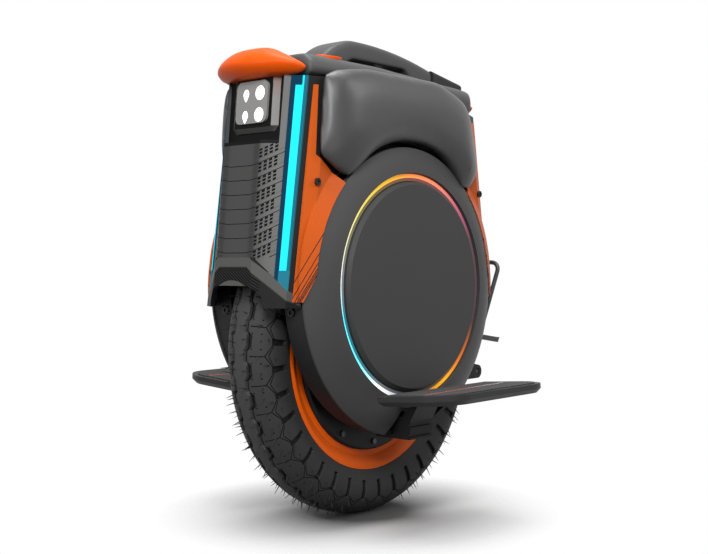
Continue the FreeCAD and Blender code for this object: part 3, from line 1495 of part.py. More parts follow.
def visor(label, nose):
    """Orange visor: a rounded brim with sloping tips and a slanted underside."""
    body = new_body(label)
    lip = d.visor_lip
    top = deck_foot + d.visor_height
    revolve(body, "XZ_Plane", "V_Axis", corners(
        (ZERO, deck_foot), (nose - d.visor_under, deck_foot), (nose, deck_foot + lip),
        (nose - d.visor_brow, top, d.visor_height, 1), (ZERO, top)))
    back = d.deck_half_length - d.visor_pivot
    past = nose + lip
    carve(body, "XY_Plane", deck_foot - lip, top + lip, corners(
        (back, -past), (back, past), (-past, past), (-past, -past)))
    for side in (1, -1):
        crown = d.visor_crown_half_width * side
        tip = d.visor_half_width * side
        carve(body, "YZ_Plane", ZERO, past, corners(
            (crown, top + lip), (crown, top), (tip, deck_foot + d.visor_tip_height),
            (tip, deck_foot - lip), (past * side, deck_foot - lip), (past * side, top + lip)))
    return body


def front_visor():
    """Visor over the headlight."""
    body = visor("front_visor", d.visor_radius)
    body.setExpression("Placement.Base.x", d.visor_pivot.formula)
    return finish(body)


def rear_visor():
    """A shorter visor at the rear, lower by the top's fall."""
    body = visor("rear_visor", d.rear_visor_radius)
    at_rear(body)
    body.setExpression("Placement.Base.x", (-d.visor_pivot).formula)
    body.setExpression("Placement.Base.z", (d.tyre_radius - d.rear_drop).formula)
    return finish(body)


# Trolley


guide_top = rear_deck_top + d.trolley_wall / 2
guide_foot = guide_top - d.guide_length


def tubes(label, outer, wall, low, high):
    """A pair of round tubes at the trolley's places."""
    members = []
    for side in (1, -1):
        body = new_body(f"{label}_tube")
        spread = d.trolley_half_spread * side
        outlines = [(-d.trolley_rear, spread, outer)]
        if wall is not None:
            outlines.append((-d.trolley_rear, spread, outer - wall))
        extrude(body, "XY_Plane", low, high, *outlines)
        members.append(body)
    return members


mid_radius = d.guide_radius - d.trolley_wall - d.slide_gap
rod_radius = mid_radius - d.trolley_wall - d.slide_gap
grip_low = rear_deck_top + d.grip_gap


def trolley_guides():
    """Outer tubes fixed in the deck."""
    return finish(group("trolley_guides", tubes(
        "guide", d.guide_radius, d.trolley_wall, guide_foot, guide_top)))


def trolley_mid_tubes():
    """Middle stage of the trolley."""
    return finish(group("trolley_mid_tubes", tubes(
        "mid", mid_radius, d.trolley_wall, guide_foot, guide_top + d.trolley_wall / 2)))


def trolley_rods():
    """Inner stage of the trolley, up to its grip."""
    return finish(group("trolley_rods", tubes("rod", rod_radius, None, guide_foot, grip_low)))


def trolley_grip():
    """Grip across the trolley's rods, lying over the deck's rear."""
    body = new_body("trolley_grip")
    front = -d.grip_front
    rear = front - d.grip_length
    top = grip_low + d.grip_height
    extrude(body, "XZ_Plane", -d.grip_half_width, d.grip_half_width, corners(
        (front, grip_low), (front, top), (rear, top - d.grip_fall), (rear, grip_low)))
    soften(body, "Fillet", d.grip_edge, lambda edge, middle: (
        middle.z > top.number - d.grip_fall.number - d.grip_edge.number / 2 and middle.x < front.number - 1))
    return finish(body)


# Pedals and hangers


def pedal_hanger():
    """Cast arm from the axle down and out to the pedal's hinge."""
    body = new_body("left_pedal_hanger")
    inner = web_face
    arm = web_face + d.hanger_arm
    pin = d.pin_half_spread
    reach = d.hanger_reach
    half = d.hanger_half_width
    round_end = d.knuckle_radius
    extrude(body, "YZ_Plane", -half, half, corners(
        (inner, d.hanger_top), (arm, d.hanger_top), (arm, d.hanger_foot_top),
        (reach - d.hanger_arm, d.hanger_foot_top), (pin - round_end, d.pin_rise),
        (pin + round_end, d.pin_rise), (reach, d.hanger_foot_top - d.hanger_arm / 2),
        (reach, d.hanger_foot_bottom), (inner, d.hanger_foot_bottom)))
    extrude(body, "YZ_Plane", -half, half, (pin, d.pin_rise, round_end))
    carve(body, "YZ_Plane", -half, half, (pin, d.pin_rise, d.pin_radius))
    carve(body, "XZ_Plane", inner, arm, (ZERO, ZERO, d.axle_radius))
    middle = (d.hanger_foot_bottom + d.hanger_foot_top - d.hanger_arm / 2) / 2
    for offset in (-1, 1):
        low = middle + d.hanger_rib_offset * offset - d.hanger_rib_width / 2
        carve(body, "YZ_Plane", -half, half, corners(
            (reach - d.hanger_rib_depth, low), (reach + d.hanger_rib_depth, low),
            (reach + d.hanger_rib_depth, low + d.hanger_rib_width),
            (reach - d.hanger_rib_depth, low + d.hanger_rib_width)))
    return finish(body)


lug_face = d.stand_half_width + d.stand_hook + d.control_gap + d.lug_thickness


def pedal_pins():
    """Hinge pins that carry the pedals."""
    members = []
    end = d.hanger_half_width + d.knuckle_gap + d.pedal_knuckle
    for side in (1, -1):
        body = new_body("pedal_pin")
        extrude(body, "YZ_Plane", -end, end, (d.pin_half_spread * side, d.pin_rise, d.pin_radius))
        members.append(body)
    return finish(group("pedal_pins", members))


def hinge_placed(label):
    """Start a body drawn about the left pedal's pin and tilted with the pedal."""
    body = new_body(label, lift=False)
    body.Placement = FreeCAD.Placement(
        FreeCAD.Vector(0, 0, 0), FreeCAD.Rotation(FreeCAD.Vector(1, 0, 0), d.pedal_tilt.number))
    body.setExpression("Placement.Rotation.Angle", d.pedal_tilt.formula)
    body.setExpression("Placement.Base.y", d.pin_half_spread.formula)
    body.setExpression("Placement.Base.z", (d.tyre_radius + d.pin_rise).formula)
    return body


def pedal_outline(inset):
    """Pedal's outline in plan, drawn in by an inset."""
    half = d.pedal_half_length - inset
    inner = d.pedal_inner + inset
    outer = d.pedal_outer - inset
    corner = d.pedal_corner - inset
    return corners(
        (half, inner), (half, outer - corner), (half - corner, outer, corner, 1),
        (corner - half, outer), (-half, outer - corner, corner, 1), (-half, inner))


def pedal():
    """Folding pedal plate with two knuckles on the hinge pin."""
    body = hinge_placed("left_pedal")
    top = d.pedal_top
    low = top - d.pedal_thickness
    bevel = d.pedal_bevel
    loft(
        body, "XY_Plane", (low, pedal_outline(bevel)), (low + bevel, pedal_outline(ZERO)),
        (top, pedal_outline(ZERO)))
    start = d.hanger_half_width + d.knuckle_gap
    stop = start + d.pedal_knuckle
    web = d.pedal_inner + bevel * 2
    strip = corners((ZERO, -d.knuckle_radius), (web, low + bevel), (web, top), (ZERO, d.knuckle_radius))
    for first, last in ((start, stop), (-stop, -start)):
        extrude(body, "YZ_Plane", first, last, strip)
        extrude(body, "YZ_Plane", first, last, (ZERO, ZERO, d.knuckle_radius))
    carve(body, "YZ_Plane", -stop, stop, (ZERO, ZERO, d.pin_radius + d.running_gap))
    return finish(body)


def pedal_grip():
    """Grip sheet on the pedal's top."""
    body = hinge_placed("left_pedal_grip")
    extrude(body, "XY_Plane", d.pedal_top, d.pedal_top + d.grip_sheet, pedal_outline(d.grip_inset))
    return finish(body)


# Stand


def stand():
    """Wire stand: stub ends, two arms, a crossbar and a kick tab, drawn flat and then leaned back."""
    body = new_body("stand", lift=False)
    lean = arc_tangent(d.stand_height / d.stand_back) + 180
    body.Placement.Rotation = FreeCAD.Rotation(FreeCAD.Vector(0, 1, 0), lean.number)
    body.setExpression("Placement.Rotation.Angle", lean.formula)
    body.setExpression("Placement.Base.x", (-d.stand_pivot_rear).formula)
    body.setExpression("Placement.Base.z", (d.tyre_radius + d.stand_pivot_rise).formula)
    reach = root(d.stand_height * d.stand_height + d.stand_back * d.stand_back)
    side = d.stand_half_width
    end = lug_face
    hook = d.stand_hook
    bend = d.stand_bend
    path = new_sketch(body, "XY_Plane", ZERO)
    draw(path, corners(
        (ZERO, -end), (ZERO, -side - hook), (hook, -side, hook, -1), (reach - bend, -side),
        (reach, bend - side, bend, 1), (reach, side - bend), (reach - bend, side, bend, 1),
        (hook, side), (ZERO, side + hook, hook, -1), (ZERO, end)), closed=False)
    profile = shape_sketch(body, "XZ_Plane", -end, [(ZERO, ZERO, d.stand_wire)])
    pipe = body.newObject("PartDesign::AdditivePipe", "stand_pipe")
    pipe.Profile = profile
    pipe.Spine = (path, [])
    DOC.recompute()
    start = d.tab_place
    wide = d.tab_width
    half = d.tab_thickness / 2
    extrude(body, "XZ_Plane", side - half, side + half, corners(
        (start, ZERO), (start + wide, ZERO), (start + wide + d.tab_lean, d.tab_length),
        (start + d.tab_lean, d.tab_length)))
    return finish(body)


def stand_foot():
    """Rubber sleeve on the stand's crossbar."""
    body = new_body("stand_foot")
    back = -d.stand_pivot_rear - d.stand_back
    rise = d.stand_pivot_rise + d.stand_height
    extrude(body, "XZ_Plane", -d.foot_half_length, d.foot_half_length,
            (back, rise, d.foot_radius), (back, rise, d.stand_wire))
    return finish(body)


def stand_brackets():
    """Lugs on the drums that hold the stand's stub ends, and the catch its foot rests against."""
    body = new_body("left_stand_lug")
    start = d.stand_half_width + d.stand_hook + d.control_gap
    pivot = -d.stand_pivot_rear
    rise = d.stand_pivot_rise
    round_end = d.lug_radius
    root_x = pivot / 2
    extrude(body, "XZ_Plane", start, lug_face, corners(
        (pivot, rise - round_end), (pivot, rise + round_end), (root_x, rise + d.lug_root),
        (root_x, rise - round_end)))
    extrude(body, "XZ_Plane", start, lug_face, (pivot, rise, round_end))
    carve(body, "XZ_Plane", start, lug_face, (pivot, rise, d.stand_wire + d.running_gap))
    carve(body, "XZ_Plane", start, lug_face, (ZERO, d.pod_rise, drum_radius))
    DOC.recompute()
    other = mirror("right_stand_lug", body, LEFT_RIGHT)
    return finish(group("stand_brackets", [body, other, stand_catch()]))


def stand_catch():
    """Catch on the rear chin that the stand's foot rests against."""
    body = new_body("stand_catch")
    rise = d.stand_pivot_rise + d.stand_height
    back = -d.stand_pivot_rear - d.stand_back + d.foot_radius + d.soft_gap
    low = rise - d.catch_height / 2
    high = rise + d.catch_height / 2
    extrude(body, "XZ_Plane", -d.catch_half_width, d.catch_half_width, corners(
        (-nose_at(low) - d.chin_proud, low), (-nose_at(high) - d.chin_proud, high), (back, high), (back, low)))
    return body


# Small controls


def power_button():
    """Round button on the deck's front."""
    body = new_body("power_button")
    top = deck_top + d.button_proud
    extrude(body, "XY_Plane", top - d.button_height, top, (d.button_place, ZERO, d.button_radius))
    soften(body, "Fillet", d.button_edge, lambda edge, middle: near(middle.z, top))
    return finish(body)


def lift_switch():
    """Paddle under the handle that stops the wheel while it is lifted."""
    body = new_body("lift_switch")
    length = d.switch_half_length
    half = d.switch_half_width
    low = handle_under - d.switch_proud
    extrude(body, "XY_Plane", low, low + d.switch_height, corners(
        (length, half), (-length, half), (-length, -half), (length, -half)))
    return finish(body)


port_low = d.port_rise - d.flap_height / 2
port_high = d.port_rise + d.flap_height / 2
port_face = nose_at(port_low) + d.port_plate
flap_pin_x = port_face + d.control_gap + d.flap_knuckle


def charge_port():
    """Charge socket through the rear wall, with a wedge plate and hinge ears for its flap."""
    body = new_body("charge_port")
    inner = d.flap_half_width + d.control_gap
    outer = inner + d.flap_ear
    extrude(body, "XZ_Plane", -outer, outer, corners(
        (nose_at(port_low), port_low), (port_face, port_low), (port_face, port_high),
        (nose_at(port_high), port_high)))
    extrude(body, "YZ_Plane", nose_at(d.port_rise) - d.port_depth, port_face,
            (ZERO, d.port_rise, d.port_radius))
    carve(body, "YZ_Plane", nose_at(d.port_rise) - d.port_depth + d.fascia_wall, port_face + d.port_plate,
          (ZERO, d.port_rise, d.port_bore))
    knuckle = d.flap_knuckle
    for first, last in ((inner, outer), (-outer, -inner)):
        extrude(body, "XZ_Plane", first, last, corners(
            (port_face, port_high - knuckle * 3), (flap_pin_x + knuckle, port_high - knuckle),
            (flap_pin_x + knuckle, port_high), (port_face, port_high)))
    extrude(body, "XZ_Plane", -inner, inner, (flap_pin_x, port_high - knuckle, d.flap_pin_radius))
    at_rear(body)
    return finish(body)


def charge_flap():
    """Flap over the charge socket, hung on its pin."""
    body = new_body("charge_flap")
    half = d.flap_half_width
    back = port_face + d.control_gap
    pin = port_high - d.flap_knuckle
    extrude(body, "XZ_Plane", -half, half, corners(
        (back, port_low), (back + d.flap_thickness, port_low), (back + d.flap_thickness, pin), (back, pin)))
    extrude(body, "XZ_Plane", -half, half, (flap_pin_x, pin, d.flap_knuckle))
    carve(body, "XZ_Plane", -half, half, (flap_pin_x, pin, d.flap_pin_radius + d.running_gap))
    at_rear(body)
    return finish(body)


def body_screws():
    """Bolt heads on the drums and screw heads on the four corner panels."""
    members = []
    face = d.side_half_width + d.panel_thickness
    for end in (1, -1):
        for side in (1, -1):
            bolt = new_body("frame_bolt")
            start = bolt_seat if end > 0 else -bolt_seat - d.frame_bolt_height
            extrude(bolt, "YZ_Plane", start, start + d.frame_bolt_height,
                    (d.frame_bolt_spread * side, d.frame_bolt_rise, d.frame_bolt_radius))
            screw = new_body("panel_screw")
            start = face if side > 0 else -face - d.screw_head_height
            extrude(screw, "XZ_Plane", start, start + d.screw_head_height,
                    (d.panel_screw_x * end, d.panel_screw_rise, d.screw_head_radius))
            members.extend((bolt, screw))
    return finish(group("body_screws", members))


def build():
    """Make every sub-part; the paired ones are drawn for the left and mirrored."""
    single = (
        tyre, inner_tube, rim, valve_stem, magnet_ring, motor_covers, wheel_bearings, cover_screws,
        axle, stator, windings, wheel_arch, upper_housing, heat_sink, controller_board, battery_packs,
        ring_lights, corner_panels, front_fascia, rear_fascia, front_light_bars, rear_light_bars,
        front_chin, rear_chin, headlight_bezel, headlight_lens, headlight_lamps, tail_light,
        top_deck, carry_handle, handle_trim, front_visor, rear_visor,
        trolley_guides, trolley_mid_tubes, trolley_rods, trolley_grip,
        pedal_pins, stand, stand_foot, stand_brackets,
        power_button, lift_switch, charge_port, charge_flap, body_screws)
    for make in single:
        make()
    for make in (frame_drum, side_shell, disc_cover, leg_pad, pedal_hanger, pedal, pedal_grip):
        left = make()
        finish(mirror(left.Label.replace("left_", "right_"), left, LEFT_RIGHT))


def export():
    """Check every object and write each sub-part to its own file."""
    for item in DOC.Objects:
        if "Invalid" in item.State or "Error" in item.State:
            raise ValueError(f"{item.Label} failed: {item.State}")
    os.makedirs("parts", exist_ok=True)
    for part in SUB_PARTS:
        if part.Shape.isNull() or not part.Shape.isValid():
            raise ValueError(f"{part.Label} has no sound shape")
        part.Shape.exportStep(f"parts/{part.Label}.step")


build()
export()
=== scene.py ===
"""Finishes, soft pads and fine detail of an electric unicycle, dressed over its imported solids."""
import logging
import math
import random
from contextlib import contextmanager
from dataclasses import dataclass
from enum import Enum
from functools import lru_cache, partial, reduce
from typing import Iterable, Iterator, Mapping, Optional, Sequence, Union

import bmesh
import bpy
from mathutils import Matrix, Vector


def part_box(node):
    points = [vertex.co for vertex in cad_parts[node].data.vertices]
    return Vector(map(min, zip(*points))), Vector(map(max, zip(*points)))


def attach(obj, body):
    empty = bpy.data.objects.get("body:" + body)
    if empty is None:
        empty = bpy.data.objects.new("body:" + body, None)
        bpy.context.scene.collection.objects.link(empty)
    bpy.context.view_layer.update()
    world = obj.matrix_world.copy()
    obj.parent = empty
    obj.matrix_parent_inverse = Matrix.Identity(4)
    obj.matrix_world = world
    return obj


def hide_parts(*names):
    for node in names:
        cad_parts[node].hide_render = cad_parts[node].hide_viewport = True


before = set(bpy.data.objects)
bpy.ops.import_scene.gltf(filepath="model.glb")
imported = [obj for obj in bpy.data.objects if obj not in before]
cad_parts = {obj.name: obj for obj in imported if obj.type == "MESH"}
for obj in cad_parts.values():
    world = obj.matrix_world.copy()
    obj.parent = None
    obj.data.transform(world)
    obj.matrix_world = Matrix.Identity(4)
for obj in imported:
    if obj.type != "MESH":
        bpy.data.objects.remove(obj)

LOG = logging.getLogger("unicycle")
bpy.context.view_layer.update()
AXLE_HEIGHT = 0.2075
SHELL_HEIGHT = 0.283
NOSE_FOOT = 0.2183
NOSE_FOOT_HEIGHT = 0.262
NOSE_SLOPE = 0.0242 / 0.259
LENS_SETBACK = 0.0105
SIGHT_SLOPE = 1.168
RELIEF = 0.001
CUT_ROUGHNESS = 0.95
COAT_ROUGHNESS = 0.12
FLOAT = "NodeSocketFloat"
VECTOR = "NodeSocketVector"

Socket = bpy.types.NodeSocket
Value = Union[float, Socket]
Piece = bpy.types.Object
Triple = tuple[float, float, float]
Colour = Triple
Pair = tuple[float, float]
Drawn = tuple[Socket, Optional[Socket]]


def shaded(colour: Colour, share: float) -> Colour:
    """A colour made darker or lighter."""
    return tuple(part * share for part in colour)


class Side(Enum):
    """Left and right of the rider, as the sign of Y."""

    LEFT = 1
    RIGHT = -1


class Board:
    """Lays nodes into one node tree and joins them."""

    def __init__(self, tree: bpy.types.NodeTree) -> None:
        """Keep the tree that nodes go into."""
        self.tree = tree

    def node(self, kind: str, inputs: Optional[Mapping] = None, **settings: object) -> bpy.types.Node:
        """Add a node.

        Args:
            kind: Blender's name for the node.
            inputs: Links or plain values of its inputs, by place or name.
            settings: Properties to set on it.

        Returns:
            The new node.
        """
        made = self.tree.nodes.new(kind)
        for name, value in settings.items():
            setattr(made, name, value)
        for key, value in (inputs or {}).items():
            self.feed(made.inputs[key], value)
        return made

    def feed(self, socket: Socket, value: object) -> None:
        """Link a socket to an input, or set its plain value.

        Args:
            socket: Input that gets the value.
            value: Output socket, number or colour.
        """
        if isinstance(value, Socket):
            self.tree.links.new(value, socket)
        elif isinstance(value, tuple) and len(value) == 3 and len(socket.default_value) == 4:
            socket.default_value = (*value, 1.0)
        else:
            socket.default_value = value

    def math(self, operation: str, *values: Value) -> Socket:
        """Result of a math node on up to three values."""
        return self.node("ShaderNodeMath", dict(enumerate(values)), operation=operation).outputs[0]

    def plus(self, first: Value, second: Value) -> Socket:
        """Sum of two values."""
        return self.math("ADD", first, second)

    def less(self, first: Value, second: Value) -> Socket:
        """First value less the second."""
        return self.math("SUBTRACT", first, second)

    def times(self, first: Value, second: Value) -> Socket:
        """Product of two values."""
        return self.math("MULTIPLY", first, second)

    def line(self, value: Value, slope: Value, start: Value) -> Socket:
        """Value times a slope, plus a start."""
        return self.math("MULTIPLY_ADD", value, slope, start)

    def size(self, value: Value) -> Socket:
        """Value without its sign."""
        return self.math("ABSOLUTE", value)

    def beyond(self, value: Value, start: float, slope: float) -> Socket:
        """How far a value has risen past a start, times a slope; 0 before the start."""
        return self.times(self.math("MAXIMUM", self.less(value, start), 0.0), slope)

    def over(self, value: Value, limit: Value) -> Socket:
        """Mask that is 1 above a limit."""
        return self.math("GREATER_THAN", value, limit)

    def under(self, value: Value, limit: Value) -> Socket:
        """Mask that is 1 below a limit."""
        return self.math("LESS_THAN", value, limit)

    def between(self, value: Value, low: float, high: float) -> Socket:
        """Mask that is 1 between two limits."""
        return self.times(self.over(value, low), self.under(value, high))

    def either(self, *masks: Value) -> Socket:
        """Union of masks, the largest at each point."""
        return reduce(partial(self.math, "MAXIMUM"), masks)

    def both(self, *masks: Value) -> Socket:
        """Overlap of masks, their product."""
        return reduce(self.times, masks)

    def blend(self, factor: Value, first: object, second: object) -> Socket:
        """Mix of two colours, the first at 0 and the second at 1."""
        return self.node("ShaderNodeMix", {0: factor, 6: first, 7: second}, data_type="RGBA").outputs[2]

    def ramp(self, factor: Value, stops: Sequence[tuple[float, Colour]]) -> Socket:
        """Colour ramp.

        Args:
            factor: Position along the ramp.
            stops: Positions and colours.

        Returns:
            The colour.
        """
        made = self.node("ShaderNodeValToRGB", {0: factor})
        bar = made.color_ramp
        while len(bar.elements) < len(stops):
            bar.elements.new(0.5)
        for element, (place, colour) in zip(bar.elements, stops):
            element.position = place
            element.color = (*colour, 1.0)
        return made.outputs[0]

    def noise(self, vector: Socket, scale: Value, detail: float) -> Socket:
        """Noise between 0 and 1."""
        return self.node("ShaderNodeTexNoise", {"Vector": vector, "Scale": scale, "Detail": detail}).outputs[0]

    def bump(self, height: Value, distance: float) -> Socket:
        """Normal bumped by a height that is 1 at a distance in metres."""
        return self.node("ShaderNodeBump", {"Distance": distance, "Strength": 1.0, "Height": height}).outputs[0]

    def axes(self, vector: Socket) -> tuple[Socket, ...]:
        """X, Y and Z of coordinates."""
        return tuple(self.node("ShaderNodeSeparateXYZ", {0: vector}).outputs)

    def group(self, tree: bpy.types.NodeTree, **inputs: object) -> bpy.types.Node:
        """Node of a shared effect, with its inputs by name."""
        return self.node("ShaderNodeGroup", inputs, node_tree=tree)

    def stripe(self, position: Value, pitch: Value, width: Value) -> Socket:
        """Mask of stripes of a pitch and width along a position."""
        return self.group(Effect.stripe(), Position=position, Pitch=pitch, Width=width).outputs["Mask"]


class Effect:
    """Shader node groups that several finishes share, each built once."""

    @staticmethod
    def open(name: str, inputs: Mapping[str, str], outputs: Sequence[str]) -> tuple[Board, dict, dict]:
        """Start a node group.

        Args:
            name: Name of the group.
            inputs: Socket kinds of its inputs by name.
            outputs: Names of its value outputs.

        Returns:
            A board on the group, its input sockets and its output sockets by name.
        """
        tree = bpy.data.node_groups.new(name, "ShaderNodeTree")
        for label, kind in inputs.items():
            tree.interface.new_socket(label, in_out="INPUT", socket_type=kind)
        for label in outputs:
            tree.interface.new_socket(label, in_out="OUTPUT", socket_type=FLOAT)
        board = Board(tree)
        given = board.node("NodeGroupInput").outputs
        out = board.node("NodeGroupOutput").inputs
        return board, {s.name: s for s in given}, {s.name: s for s in out}

    @staticmethod
    @lru_cache(maxsize=None)
    def grain() -> bpy.types.NodeTree:
        """Mottling and fine grain of a moulded surface."""
        board, given, out = Effect.open("Mould Grain", {"Vector": VECTOR, "Scale": FLOAT}, ("Shade", "Height"))
        board.feed(out["Shade"], board.noise(given["Vector"], 9.0, 3.0))
        board.feed(out["Height"], board.noise(given["Vector"], given["Scale"], 3.0))
        return board.tree

    @staticmethod
    @lru_cache(maxsize=None)
    def around() -> bpy.types.NodeTree:
        """Turn, radius and place along an axis that runs along Y at a height."""
        board, given, out = Effect.open(
            "Around Axis", {"Vector": VECTOR, "Height": FLOAT}, ("Turn", "Radius", "Along"))
        x, y, z = board.axes(given["Vector"])
        rise = board.less(z, given["Height"])
        turn = board.math("ARCTAN2", x, rise)
        board.feed(out["Turn"], board.line(turn, 0.5 / math.pi, 0.5))
        board.feed(out["Radius"], board.math("SQRT", board.line(rise, rise, board.times(x, x))))
        board.feed(out["Along"], y)
        return board.tree

    @staticmethod
    @lru_cache(maxsize=None)
    def stripe() -> bpy.types.NodeTree:
        """Stripes of a pitch and width along a position."""
        board, given, out = Effect.open(
            "Stripe", {"Position": FLOAT, "Pitch": FLOAT, "Width": FLOAT}, ("Mask",))
        part = board.math("FRACT", board.math("DIVIDE", given["Position"], given["Pitch"]))
        share = board.math("DIVIDE", given["Width"], given["Pitch"])
        board.feed(out["Mask"], board.under(part, share))
        return board.tree


def empty_material(label: str) -> tuple[bpy.types.Material, Board]:
    """Open a material without nodes.

    Args:
        label: Its name.

    Returns:
        The material and a board on its nodes.
    """
    material = bpy.data.materials.new(label)
    material.use_nodes = True
    material.node_tree.nodes.clear()
    return material, Board(material.node_tree)


@dataclass(frozen=True)
class Finish:
    """A surface with mottled colour, uneven gloss and a fine grain."""

    label: str
    color: Colour
    roughness: float = 0.5
    mottle: float = 0.18
    gloss_spread: float = 0.1
    grain_scale: float = 900.0
    grain_height: float = 0.00006
    metallic: float = 0.0
    coat: float = 0.0
    specular: float = 0.2
    matte_cuts: bool = True

    def pattern(self, board: Board, place: Socket, base: Socket) -> Drawn:
        """Draw this finish's own pattern over its base colour.

        Args:
            board: Board on the material.
            place: Object coordinates.
            base: Mottled base colour.

        Returns:
            The colour, and a height between 0 and 1 where the pattern has relief.
        """
        return base, None

    def light(self, board: Board, shader: bpy.types.Node, color: Socket) -> None:
        """Add glow to the shader; a plain finish has none."""

    def material(self) -> bpy.types.Material:
        """Make the material.

        Returns:
            The finished material.
        """
        material, board = empty_material(self.label)
        place = board.node("ShaderNodeTexCoord").outputs["Object"]
        shader = board.node("ShaderNodeBsdfPrincipled", {
            "Metallic": self.metallic, "Coat Weight": self.coat, "Coat Roughness": COAT_ROUGHNESS,
            "Specular IOR Level": self.specular})
        board.node("ShaderNodeOutputMaterial", {0: shader.outputs[0]})
        grain = board.group(Effect.grain(), Vector=place, Scale=self.grain_scale)
        dark = shaded(self.color, 1 - self.mottle)
        pale = tuple(min(part * (1 + self.mottle), 1.0) for part in self.color)
        base = board.blend(grain.outputs["Shade"], dark, pale)
        color, relief = self.pattern(board, place, base)
        board.feed(shader.inputs["Base Color"], color)
        dullest = self.roughness - self.gloss_spread / 2
        gloss = board.line(grain.outputs["Shade"], self.gloss_spread, dullest)
        if relief is not None and self.matte_cuts:
            gloss = board.math("MAXIMUM", gloss, board.times(board.less(1.0, relief), CUT_ROUGHNESS))
        board.feed(shader.inputs["Roughness"], gloss)
        height = board.times(grain.outputs["Height"], self.grain_height / RELIEF)
        if relief is not None:
            height = board.plus(height, relief)
        board.feed(shader.inputs["Normal"], board.bump(height, RELIEF))
        self.light(board, shader, color)
        return material


@dataclass(frozen=True)
class Tread(Finish):
    """Tyre rubber with thin sipes, pin holes, a middle rib painted lighter as a highlight and painted shade in its
    grooves and slots.
    """

    blocks: int = 38
    tread_radius: float = 0.2075
    sipe_half: float = 0.0006
    sipe_across: Pair = (0.0145, 0.029)
    sipe_foot: float = 0.195
    slants: tuple[tuple[float, float, float, float], ...] = (
        (1.55, 0.1954, 0.187, 0.001), (2.17, 0.1915, 0.1855, 0.0013))
    pin_radius: float = 0.00085
    pin_foot: float = 0.19
    slot_half: float = 0.004
    slot_span: Pair = (0.164, 0.1868)
    groove_half: float = 0.0168
    groove_foot: float = 0.2034
    rib_foot: float = 0.2
    pin_rows: tuple[float, ...] = (0.0172, 0.0262)
    pin_place: float = 0.0082
    rib: float = 0.0098

    def pattern(self, board: Board, place: Socket, base: Socket) -> Drawn:
        """Draw the sipes of the blocks. See Finish.pattern."""
        around = board.group(Effect.around(), Vector=place, Height=AXLE_HEIGHT)
        pitch = 2 * math.pi * self.tread_radius / self.blocks
        step = board.times(around.outputs["Turn"], float(self.blocks))
        along = board.times(board.less(board.math("FRACT", step), 0.5), pitch)
        reach = board.size(along)
        across = board.size(around.outputs["Along"])
        radius = around.outputs["Radius"]
        straight = board.both(
            board.under(reach, self.sipe_half), board.between(across, *self.sipe_across),
            board.over(radius, self.sipe_foot))
        lines = [straight]
        for slope, high, low, half in self.slants:
            path = board.line(radius, -slope, slope * high)
            off = board.size(board.less(reach, path))
            lines.append(board.both(board.under(off, half), board.between(radius, low, high)))
        lengthwise = board.less(reach, self.pin_place)
        for row in self.pin_rows:
            sideways = board.less(across, row)
            far = board.line(sideways, sideways, board.times(lengthwise, lengthwise))
            lines.append(board.both(
                board.under(far, self.pin_radius ** 2), board.over(radius, self.pin_foot)))
        cut = board.either(*lines)
        slot = board.both(
            board.over(reach, pitch / 2 - self.slot_half), board.between(radius, *self.slot_span))
        groove = board.both(board.under(across, self.groove_half), board.under(radius, self.groove_foot))
        # painted highlight: the middle rib on the crown is a lighter copy of the rubber, where light falls on it
        painted_rib_sheen = board.both(board.under(across, self.rib), board.over(radius, self.rib_foot))
        tread = board.blend(painted_rib_sheen, base, shaded(self.color, 1.35))
        # painted shade: the grooves and shoulder slots are a darker copy of the rubber, as shade in the recesses
        painted_recess_shade = board.blend(board.either(slot, groove), tread, shaded(self.color, 0.22))
        return board.blend(cut, painted_recess_shade, (0.003, 0.003, 0.003)), board.less(1.0, cut)


